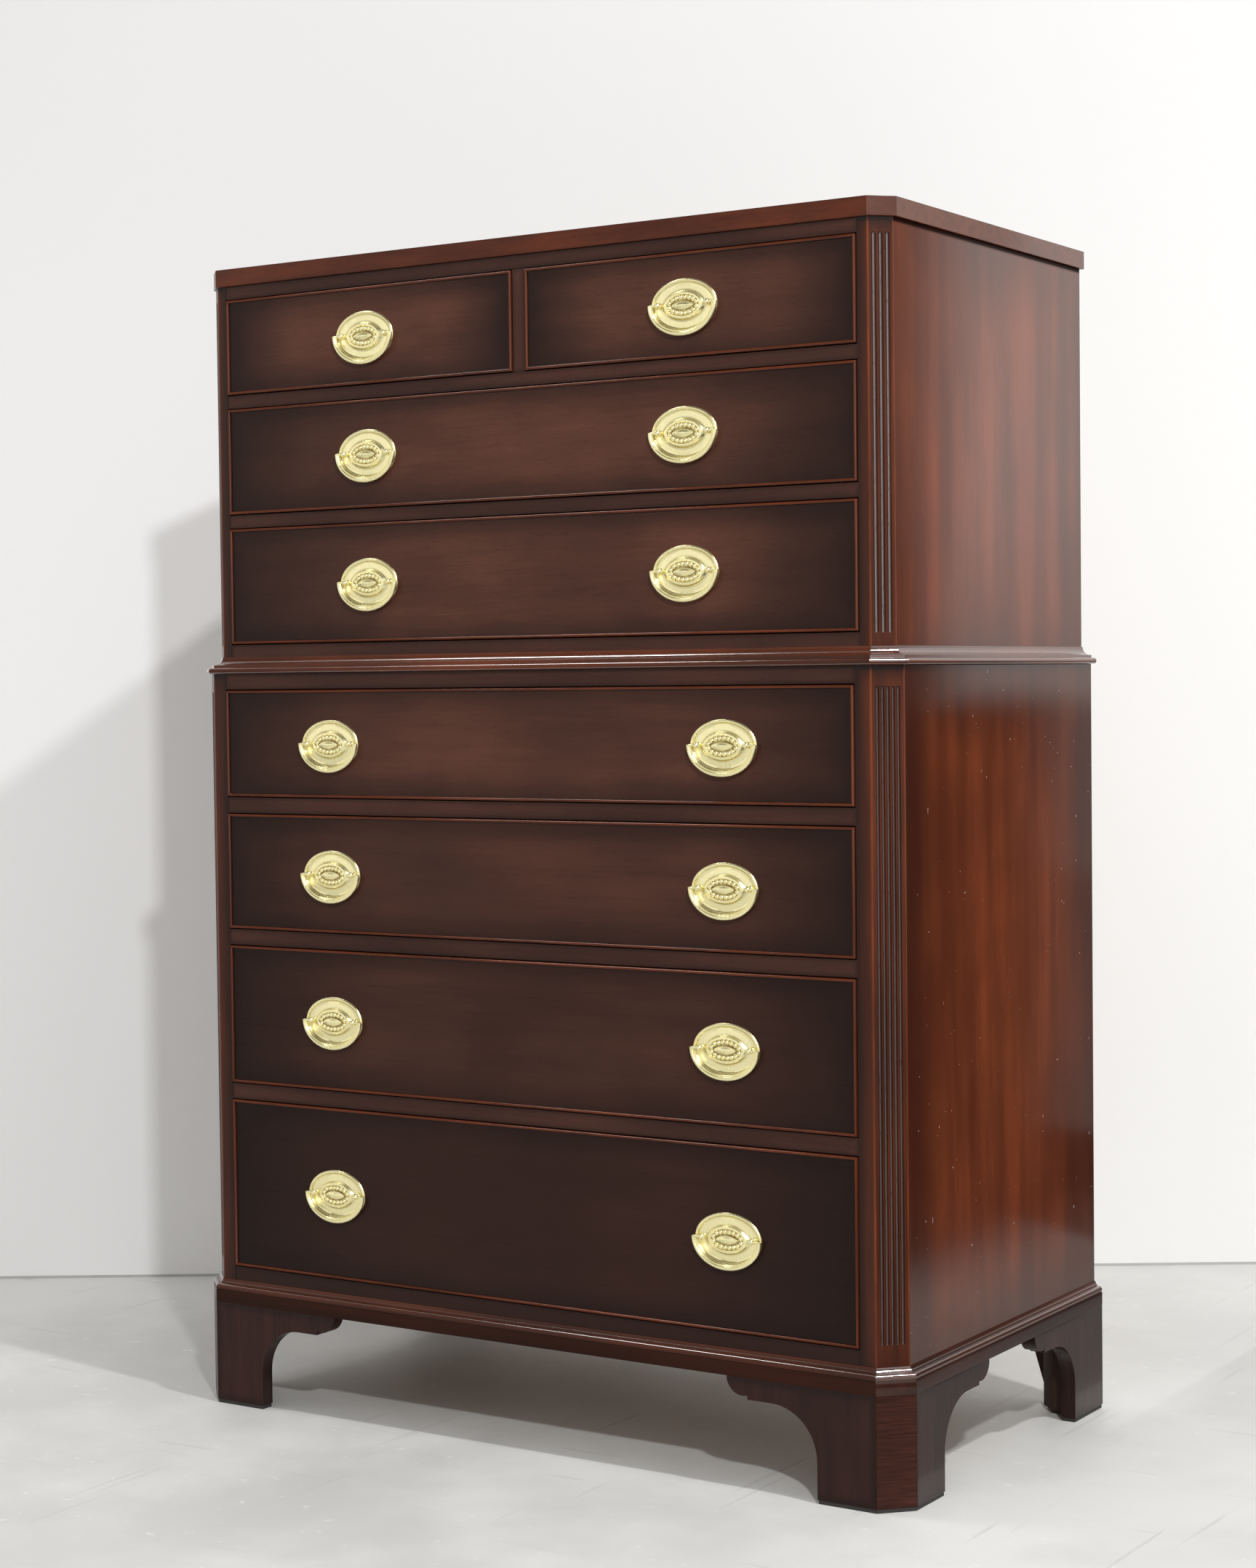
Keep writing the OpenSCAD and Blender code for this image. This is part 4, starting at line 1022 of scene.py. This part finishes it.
class CHEST_OT_feet(bpy.types.Operator):
    """Build the bracket feet and their pads"""
    bl_idname = "chest.feet"
    bl_label = "Feet"

    def execute(self, context):
        sizes = settings().foot
        low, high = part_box("front_foot_right")
        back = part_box("rear_foot_right")[1][1]
        outer, front, floor = high[0], low[1], low[2]
        height = high[2] - floor
        side_low, side_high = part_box("lower_side_right")
        cant = side_low[1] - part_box("lower_corner_right")[0][1] + (outer - side_high[0]) * (1 - MITRE)
        inner = outer - sizes.thick
        front_outline = bracket_outline(sizes, sizes.front_w - cant - GLUE, height)
        side_outline = bracket_outline(sizes, sizes.side_w - cant - GLUE, height)
        rear_outline = bracket_outline(sizes, sizes.rear_w, height)
        # Sizes that tell the solids of a CAD foot apart: its corner piece, its block and its slanted back
        corner_most, block_most, block_long = 0.04, 0.05, 0.1
        back_least = 0.03
        for hand, sign in HANDS:
            front_foot, rear_foot = f"front_foot_{hand}", f"rear_foot_{hand}"
            bm = bmesh.new()
            bracket(bm, front_outline, front, front + sizes.thick,
                    lambda out, up, face: (sign * (outer - sizes.front_w - out), face, floor + up))
            bracket(bm, side_outline, inner, outer,
                    lambda out, up, face: (sign * face, front + sizes.side_w + out, floor + up))
            eased_foot(bm, front_foot + "_brackets", front_foot)
            soft_copy(front_foot, "Foot corner mahogany", "case", "fluted_corner_mahogany", grain="level",
                      keep=lambda size: max(size[0], size[1]) < corner_most, name=front_foot + "_corner")
            soft_copy(front_foot, "Stained softwood", "case", "inner_softwood",
                      keep=lambda size: corner_most < size[0] < block_most and size[1] < block_long,
                      name=front_foot + "_block")
            bm = bmesh.new()
            bracket(bm, rear_outline, inner, outer,
                    lambda out, up, face: (sign * face, back - sizes.rear_w - out, floor + up))
            eased_foot(bm, rear_foot + "_bracket", rear_foot)
            soft_copy(rear_foot, "Stained softwood", "case", "inner_softwood",
                      keep=lambda size: size[0] > back_least, name=rear_foot + "_back")
        soft_copy("foot_pads", "Black pad", "case", "black_pad")
        return {"FINISHED"}


# Drawers

def bead_frame(bm, sizes, low, high):
    """Four mitred lengths of bead round a drawer front."""
    nose = sizes.bead_w / 2
    back = low[1] + sizes.bead_out + sizes.front_t / 4 - GLUE
    section = [(back, 0), *arc(low[1] + nose, nose, nose, 270, 90, 15), (back, sizes.bead_w)]
    corners = [(low[0], low[2]), (high[0], low[2]), (high[0], high[2]), (low[0], high[2])]
    inward = [(1, 1), (-1, 1), (-1, -1), (1, -1)]
    for i in range(4):
        j = (i + 1) % 4
        shift = (Vector(corners[j]) - Vector(corners[i])).normalized() * GLUE / 2
        rings = []
        for k, beside in ((i, 1), (j, -1)):
            x, z = Vector(corners[k]) + shift * beside
            rings.append([(x + inward[k][0] * deep, y, z + inward[k][1] * deep) for y, deep in section])
        crest = [max(0.0, 1 - (y - low[1]) / nose) for y, _ in section]
        loft(bm, rings, crest=[crest, crest])


class CHEST_OT_drawers(bpy.types.Operator):
    """Build the drawer fronts, their beads and the drawer boxes"""
    bl_idname = "chest.drawers"
    bl_label = "Drawers"

    def execute(self, context):
        sizes = settings().drawer
        # The drawers below this one get darker downwards, with painted shade and darker wood
        last_light = 4
        for number in DRAWERS:
            body = f"drawer_{number}"
            front = body + "_front"
            low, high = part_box(front)
            lower = max(0, number - last_light) / (len(DRAWERS) - last_light)
            soft_copy(front, "Drawer mahogany", body, "mahogany", grain=0, shade=lower ** 1.5,
                      keep=lambda size: size[1] > sizes.front_t / 2, name=front + "_board")
            bm = bmesh.new()
            bead_frame(bm, sizes, low, high)
            wooden(front + "_beads", bm, "Bead mahogany", body, "mahogany", front, smooth=40)
            soft_copy(body + "_box", "Drawer lining", body, "drawer_lining")
        return {"FINISHED"}


# Pulls

def oval_ring(half_w, half_h, height, point=1.0, drop=0.0, count=72):
    """An oval round a pull's middle, pointed at its ends where point is over 1."""
    ring = []
    for i in range(count):
        angle = 2 * math.pi * (i + 0.5) / count
        rise = math.copysign(abs(math.sin(angle)) ** point, math.sin(angle))
        ring.append((half_w * math.cos(angle), -height, half_h * rise - drop))
    return ring


def evenly_round(half_w, half_h, count):
    """Points at equal distances round an oval."""
    steps = 720
    points = [(half_w * math.cos(2 * math.pi * i / steps), half_h * math.sin(2 * math.pi * i / steps))
              for i in range(steps + 1)]
    walked = [0.0]
    for before, after in zip(points, points[1:]):
        walked.append(walked[-1] + math.dist(before, after))
    return [next(point for point, way in zip(points, walked) if way >= walked[-1] * (i + 0.5) / count)
            for i in range(count)]


def turned_to(axis, degrees):
    """A turn round an axis."""
    return Matrix.Rotation(math.radians(degrees), 3, axis)


def lathe(bm, profile, at, turn, count=32):
    """A turned solid from (radius, height) points, standing on its place and turned to its axis."""
    angles = [2 * math.pi * i / count for i in range(count)]
    circle = [(math.cos(angle), math.sin(angle)) for angle in angles]
    loft(bm, [[Vector(at) + turn @ Vector((radius * x, radius * y, height)) for x, y in circle]
              for radius, height in profile])


def between(first, second, part):
    """A value on the way from one to another."""
    return first + (second - first) * part


def plate_body(bm, pull, half_w, half_h, drop):
    """The plate's rim, dish, pointed flank and boss with its sunk field, from the edge inwards."""
    rings = []
    sunk = []

    def ring(width, height, out, point, dark):
        rings.append(oval_ring(width, height, out, point, drop))
        sunk.append(dark)

    # The rim, as shares of its width and height
    for inset, rise in ((0, 0), (0, 0.4), (0.12, 0.72), (0.3, 0.92), (0.46, 1), (0.62, 0.92), (0.76, 0.72),
                        (0.84, 0.56), (0.9, 0.62), (0.96, 0.6), (1, 0.5)):
        width = inset * pull.rim_w
        ring(half_w - width, half_h - width, rise * pull.rim_h, 1, 0.35 if inset > 0.8 else 0)
    # The dish, as shares of the way to the flank and of the dish's height
    dish_w, dish_h = half_w - pull.rim_w, half_h - pull.rim_w
    for part, rise in ((0.12, 0.6), (0.4, 0.85), (0.75, 1.1)):
        ring(between(dish_w, pull.flank_a, part), between(dish_h, pull.flank_b, part),
             rise * pull.dish, 1 + 0.35 * part, 0)
    # The flank, as shares of the way up to the boss
    for part in (0, 0.12, 0.3, 0.5, 0.7, 0.88, 1):
        rise = part * part * (3 - 2 * part)
        ring(between(pull.flank_a, pull.boss_a, part), between(pull.flank_b, pull.boss_b, part),
             between(pull.dish * 1.25, pull.boss_h, rise), 1.4 - 0.4 * part, 0.25 * (1 - part))
    # The collar's inner edge and the field, with insets as shares of the collar's width
    field = pull.boss_h - pull.field_d
    for inset, height, dark in ((1, pull.boss_h, 0), (1.15, pull.boss_h - 0.0004, 0.4), (1.4, field, 1),
                                (6, field - FIELD_SINK, 1)):
        width = inset * pull.collar_w
        ring(pull.boss_a - width, pull.boss_b - width, height, 1, dark)
    loft(bm, rings, sunk=[[dark] * len(rings[0]) for dark in sunk])


def plate_ornament(bm, pull, drop):
    """The pearls and the stepped leaf in the boss's field."""
    field = pull.boss_h - pull.field_d
    # The pearls stand slightly outside the middle between the leaf and the collar
    ring_a = (pull.boss_a - pull.collar_w + pull.leaf_a) / 2 + 0.0008
    ring_b = (pull.boss_b - pull.collar_w + pull.leaf_b) / 2 + 0.0004
    flattened = 0.8
    dome = [(radius, field - FIELD_SINK + height * flattened)
            for radius, height in arc(0, 0, pull.pearl_r, 0, 75, 25)]
    for x, z in evenly_round(ring_a, ring_b, pull.pearls):
        lathe(bm, dome, (x, 0, z - drop), turned_to("X", 90), 12)
    # The leaf's steps, as shares of its size and heights above the field
    steps = ((1, -FIELD_SINK), (0.97, 0.0011), (0.85, 0.0013), (0.76, 0.0006), (0.62, 0.0008),
             (0.4, 0.0014), (0.15, 0.0017))
    loft(bm, [oval_ring(pull.leaf_a * part, pull.leaf_b * part, field + height, 1.45, drop, 40)
              for part, height in steps])


def pull_post(bm, pull, x, front_t):
    """A ball-headed post with its collar, knuckles, shank and nut."""
    back = front_t + pull.nut_t
    nut_edge = 0.0004
    shank = [(pull.shank_r * 0.8, -back - 0.001), (pull.shank_r, -back - 0.0008), (pull.shank_r, 0.0008)]
    collar = [(0.0034, 0.0012), (0.0036, 0.0018), (0.0032, 0.0024)]
    ball = [(radius, pull.pivot_out + height) for radius, height in arc(0, 0, pull.ball_r, -50, 85, 9)]
    knuckle = [(0.0024, 0.003), (0.0024, 0.0043), (0.0021, 0.0048), (0.0016, 0.005)]
    nut = [(pull.nut_r - nut_edge, -back), (pull.nut_r, nut_edge - back),
           (pull.nut_r, -front_t - nut_edge), (pull.nut_r - nut_edge, -front_t)]
    lathe(bm, [*shank, *collar, *ball], (x, 0, 0), turned_to("X", 90))
    for side in (-1, 1):
        lathe(bm, knuckle, (x, -pull.pivot_out, 0), turned_to("Y", 90 * side), 20)
    lathe(bm, nut, (x, 0, 0), turned_to("X", 90), 6)


class CHEST_OT_pulls(bpy.types.Operator):
    """Build the oval plates with their posts, one pair of pulls for each wide drawer"""
    bl_idname = "chest.pulls"
    bl_label = "Plates and posts"

    def execute(self, context):
        pull = settings().pull
        low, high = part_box("drawer_1_plates")
        half_w = (high[0] - low[0]) / 2
        half_h = (high[2] - low[2]) / 2
        drop = HINGES["bail_1"]["pos_m"][2] - (high[2] + low[2]) / 2
        bm = bmesh.new()
        plate_body(bm, pull, half_w, half_h, drop)
        plate_ornament(bm, pull, drop)
        for side in (-1, 1):
            pull_post(bm, pull, side * pull.post_x, settings().drawer.front_t)
        mesh = new_mesh("pull_plate", bm, "Pale brass", 35)
        for bail, joint in HINGES.items():
            x, y, z = joint["pos_m"]
            drawer = joint["parent"]
            piece(bail.replace("bail", "plate"), mesh, drawer, "brass", drawer + "_plates",
                  at=(x, y + pull.pivot_out, z))
        return {"FINISHED"}


def bail_section(pull, notch):
    """Section of the bail's bar: outwards from the middle of the bar, and towards the viewer."""
    half = pull.bail_w / 2
    thick = pull.bail_t / 2
    # As shares of half the bar's width and half its thickness
    shape = [(1, -0.6), (0.8, -1), (-0.8, -1), (-1, -0.7), (-1, 0.4), (-0.86, 0.66), (-0.66, 0.62),
             (-0.56, 0.4), (-0.44, 0.42), (-0.3, 0.78), (0.0, 1), (0.4, 0.96), (0.78, 0.62), (0.97, 0.2)]
    return [(half * out, thick * rise - (notch if rise > 0.3 else 0)) for out, rise in shape]


def bail_bar(bm, pull):
    """The bail's bar: a half oval with square ends and fine ticks near them."""
    tick_depth = 0.0001
    plain = bail_section(pull, 0)
    ticked = bail_section(pull, tick_depth)
    half_tick = pull.tick_turn * 0.22
    ends = [(0, plain)]
    for k in range(1, pull.ticks + 1):
        turn = k * pull.tick_turn
        ends += [(turn - half_tick, plain), (turn, ticked), (turn + half_tick, plain)]
    first = (pull.ticks + 1) * pull.tick_turn
    steps = 28
    middle = [(first + (math.pi - 2 * first) * i / steps, plain) for i in range(steps + 1)]
    stations = [*ends, *middle, *[(math.pi - turn, section) for turn, section in ends[::-1]]]
    rings = [[(-(pull.bail_a + out) * math.cos(turn), -front, -(pull.bail_b + out) * math.sin(turn))
              for out, front in section] for turn, section in stations]
    tips = [[(side * (pull.bail_a + out), -front, pull.bail_up) for out, front in plain] for side in (-1, 1)]
    loft(bm, [tips[0], *rings, tips[1]])


class CHEST_OT_bails(bpy.types.Operator):
    """Build the swinging bails"""
    bl_idname = "chest.bails"
    bl_label = "Bails"

    def execute(self, context):
        pull = settings().pull
        bm = bmesh.new()
        bail_bar(bm, pull)
        pin = [(pull.pin_r * 0.8, -0.0015), (pull.pin_r, -0.0012), (pull.pin_r, pull.bail_a - pull.post_x)]
        for side in (-1, 1):
            lathe(bm, pin, (side * pull.post_x, 0, 0), turned_to("Y", 90 * side), 16)
        mesh = new_mesh("bail", bm, "Pale brass", 35)
        for bail, joint in HINGES.items():
            piece(bail, mesh, bail, "brass", bail, at=joint["pos_m"])
        return {"FINISHED"}


# Stage

def plane(name, corners, material):
    """A flat stage object."""
    mesh = bpy.data.meshes.new(name)
    mesh.from_pydata(corners, [], [range(len(corners))])
    mesh.materials.append(material)
    obj = bpy.data.objects.new(name, mesh)
    bpy.context.scene.collection.objects.link(obj)
    return obj


def level_corners(left, front, right, back, z=0.0):
    """Corners of a level rectangle."""
    return [(left, front, z), (right, front, z), (right, back, z), (left, back, z)]


def floor_material(colour):
    """Pale polished concrete with faint clouds and scratches, and painted light that makes it paler to the
    right.
    """
    material, tree, shader = new_material("Pale floor")
    place = coordinates(tree)
    clouds = noise(tree, place, 2.2, 5.0, 0.6)
    mottled = blend_colour(tree, carry(tree, clouds, 0.35, 0.65), rgba(colour, 0.88), rgba(colour, 1.06))
    # Painted light: paler to the right, where the lamps are
    rightwards = carry(tree, parts(tree, place)[0], -0.5, 1.8, 0.0, 0.5)
    mottled = blend_colour(tree, rightwards, mottled, rgba(colour, 1.2))
    for run, tone in (((70.0, 2.5, 1.0), 0.78), ((3.5, 60.0, 1.0), 0.78), ((40.0, 45.0, 1.0), 1.2)):
        drawn_out = vector_calc(tree, "MULTIPLY", place, run)
        scratches = carry(tree, noise(tree, drawn_out, 1.0, 2.0, 0.6), 0.66, 0.72)
        mottled = blend_colour(tree, calc(tree, "MULTIPLY", scratches, 0.5), mottled, rgba(colour, tone))
    fill(tree, shader, {"Base Color": mottled, "Roughness": carry(tree, clouds, 0.3, 0.7, 0.42, 0.6)})
    return material


def partly_clear(tree, shader, clear_share):
    """Makes a material see-through where its clear share is 1."""
    clear = add(tree, "ShaderNodeBsdfTransparent").outputs[0]
    either = add(tree, "ShaderNodeMixShader", {0: clear_share, 1: shader.outputs[0], 2: clear})
    tree.links.new(either.outputs[0], tree.nodes["Material Output"].inputs["Surface"])


def wall_material(colour, gap):
    """A white wall with painted shade that makes it less white high up, and a painted shadow in the gap under
    it, that is clear from behind.
    """
    material, tree, shader = new_material("White wall")
    height = parts(tree, coordinates(tree))[2]
    # Painted shade: less white high up
    graded = blend_colour(tree, carry(tree, height, 0.5, 2.3), rgba(colour), rgba(colour, 0.82))
    # A painted shadow in the gap under the wall
    above = calc(tree, "GREATER_THAN", height, gap)
    painted = blend_colour(tree, above, rgba(colour, 0.55), graded)
    fill(tree, shader, {"Base Color": painted, "Roughness": 0.9})
    partly_clear(tree, shader, add(tree, "ShaderNodeNewGeometry").outputs["Backfacing"])
    return material


def dark_material(name, cover):
    """A dark surface that only reflections see. Cover gives how much it hides over its place."""
    material, tree, shader = new_material(name)
    fill(tree, shader, {"Base Color": (0.01, 0.01, 0.01, 1), "Roughness": 1})
    hidden = cover(tree, *parts(tree, coordinates(tree)))
    partly_clear(tree, shader, calc(tree, "SUBTRACT", 1.0, hidden))
    return material


def screen_cover(tree, x, y, z):
    """The screen hides all below its middle height, less at its left and higher up, and all at its right."""
    low = calc(tree, "MULTIPLY", carry(tree, z, 0.83, 0.93, 1.0, 0.0), carry(tree, x, 1.4, 1.68, 0.7, 1.0))
    right = calc(tree, "MULTIPLY", carry(tree, x, 1.68, 2.0, 0.0, 1.0), carry(tree, z, 1.0, 1.4, 1.0, 0.9))
    higher_up = carry(tree, z, 0.9, 1.3, 0.3, 0.0)
    return calc(tree, "MAXIMUM", calc(tree, "MAXIMUM", low, right), higher_up)


def mat_cover(tree, x, y, z):
    """The mat hides less near the chest."""
    return carry(tree, x, 0.9, 1.15, 0.45, 1.0)


def stage_camera(stage):
    """The camera, at its place and turned by its pitch, roll and yaw."""
    pitch, roll, yaw = stage.turn
    camera = bpy.data.objects.new("Camera", bpy.data.cameras.new("Camera"))
    camera.data.lens = stage.lens
    turned = Matrix.Rotation(yaw, 4, "Z") @ Matrix.Rotation(math.radians(90) + pitch, 4, "X")
    camera.matrix_world = Matrix.Translation(stage.place) @ turned @ Matrix.Rotation(roll, 4, "Z")
    return camera


def lamp(name, at, towards, size, watts):
    """A soft square lamp."""
    light = bpy.data.lights.new(name, "AREA")
    light.size = size
    light.energy = watts
    obj = bpy.data.objects.new(name, light)
    obj.location = at
    obj.rotation_euler = (Vector(towards) - Vector(at)).to_track_quat("-Z", "Y").to_euler()
    bpy.context.scene.collection.objects.link(obj)


def surroundings(scene, low, high):
    """Light from all round, dimmer from near the floor, with a bright horizon for reflections."""
    world = bpy.data.worlds.new("Surroundings")
    scene.world = world
    world.use_nodes = True
    tree = world.node_tree
    way = coordinates(tree, "Generated")
    up = parts(tree, way)[2]
    strength = carry(tree, up, -0.1, 0.5, low, high)
    back_right = (0.45, 0.85, 0.3)
    towards = add(tree, "ShaderNodeVectorMath", {0: way, 1: back_right}, operation="DOT_PRODUCT")
    seen = calc(tree, "MAXIMUM", carry(tree, up, 0.25, 0.6, 1.0, 0.12),
                carry(tree, towards.outputs["Value"], 0.6, 0.9, 0.0, 1.0))
    path = add(tree, "ShaderNodeLightPath").outputs
    direct = calc(tree, "MAXIMUM", path["Is Camera Ray"], path["Is Transmission Ray"])
    mirrored = add(tree, "ShaderNodeMix", {0: path["Is Glossy Ray"], 2: strength, 3: seen}).outputs[0]
    shown = add(tree, "ShaderNodeMix", {0: direct, 2: mirrored, 3: 1.0}).outputs[0]
    fill(tree, tree.nodes["Background"], {"Strength": shown, "Color": (1, 0.985, 0.96, 1)})


class CHEST_OT_stage(bpy.types.Operator):
    """Set the camera, the floor, the wall, the lamps and the surroundings"""
    bl_idname = "chest.stage"
    bl_label = "Stage"

    def execute(self, context):
        stage = settings().stage
        scene = context.scene
        yaw = stage.turn[2]
        scene.camera = stage_camera(stage)
        scene.collection.objects.link(scene.camera)
        floor_half = 9.0
        plane("floor", level_corners(-floor_half, -floor_half, floor_half, floor_half),
              floor_material(stage.floor_colour))
        ahead = Vector((-math.sin(yaw), math.cos(yaw), 0))
        beside = Vector((math.cos(yaw), math.sin(yaw), 0))
        foot = Vector(stage.place) * Vector((1, 1, 0)) + ahead * stage.wall
        wall_left, wall_top = 5, 4
        left, right = foot - beside * wall_left, foot + beside * stage.wall_right
        up = Vector((0, 0, wall_top))
        plane("wall", [left, right, right + up, left + up], wall_material(stage.wall_colour, stage.wall_gap))
        start, end, screen_top = 1.2, 5, 3
        screen = plane("screen", [(start, 0, 0), (end, 0, 0), (end, 0, screen_top), (start, 0, screen_top)],
                       dark_material("Dark screen", screen_cover))
        before_wall = 0.25
        screen.location = foot - ahead * before_wall
        screen.rotation_euler.z = yaw
        above_floor = 0.002
        mat = plane("mat", level_corners(0.55, -2.5, 5, 2.2, above_floor),
                    dark_material("Dark mat", mat_cover))
        for dark in (screen, mat):
            dark.visible_camera = False
            dark.visible_diffuse = False
            dark.visible_shadow = False
        low, high = CAD_BOX
        middle = Vector((0, 0, high[2] / 2))
        corner = Vector((low[0], low[1], high[2]))
        for name, way, size, watts in (
            ("Low lamp", (0.709, -0.607, 0.36), stage.lamp_size, stage.low_power),
            ("High lamp", (0.745, -0.123, 0.656), stage.lamp_size, stage.high_power),
            ("Window lamp", (-0.54, -0.1, 0.84), stage.window_size, stage.window_power),
        ):
            lamp(name, corner + Vector(way).normalized() * stage.lamp_away, middle, size, watts)
        surroundings(scene, stage.sky_low, stage.sky_high)
        scene.view_settings.view_transform = "Standard"
        return {"FINISHED"}


class ChestSettings(bpy.types.PropertyGroup):
    """All the settings of the chest"""
    wood: PointerProperty(type=WoodSettings)
    corner: PointerProperty(type=CornerSettings)
    moulding: PointerProperty(type=MouldingSettings)
    foot: PointerProperty(type=FootSettings)
    drawer: PointerProperty(type=DrawerSettings)
    pull: PointerProperty(type=PullSettings)
    stage: PointerProperty(type=StageSettings)


OPERATORS = (
    CHEST_OT_stage, CHEST_OT_case, CHEST_OT_inner_case, CHEST_OT_corners, CHEST_OT_mouldings,
    CHEST_OT_feet, CHEST_OT_drawers, CHEST_OT_pulls, CHEST_OT_bails,
)


class CHEST_PT_panel(bpy.types.Panel):
    """Lists what the chest is built from"""
    bl_label = "Chest on chest"
    bl_idname = "CHEST_PT_panel"
    bl_space_type = "VIEW_3D"
    bl_region_type = "UI"
    bl_category = "Chest"

    def draw(self, context):
        for operator in OPERATORS:
            self.layout.operator(operator.bl_idname)


CLASSES = (
    WoodSettings, CornerSettings, MouldingSettings, FootSettings, DrawerSettings, PullSettings,
    StageSettings, ChestSettings, *OPERATORS, CHEST_PT_panel,
)


def register():
    for kind in CLASSES:
        bpy.utils.register_class(kind)
    bpy.types.Scene.chest = PointerProperty(type=ChestSettings)


def unregister():
    del bpy.types.Scene.chest
    for kind in reversed(CLASSES):
        bpy.utils.unregister_class(kind)


def main():
    """Builds the whole scene."""
    register()
    for operator in OPERATORS:
        group, name = operator.bl_idname.split(".")
        getattr(getattr(bpy.ops, group), name)()


if __name__ == "__main__":
    main()
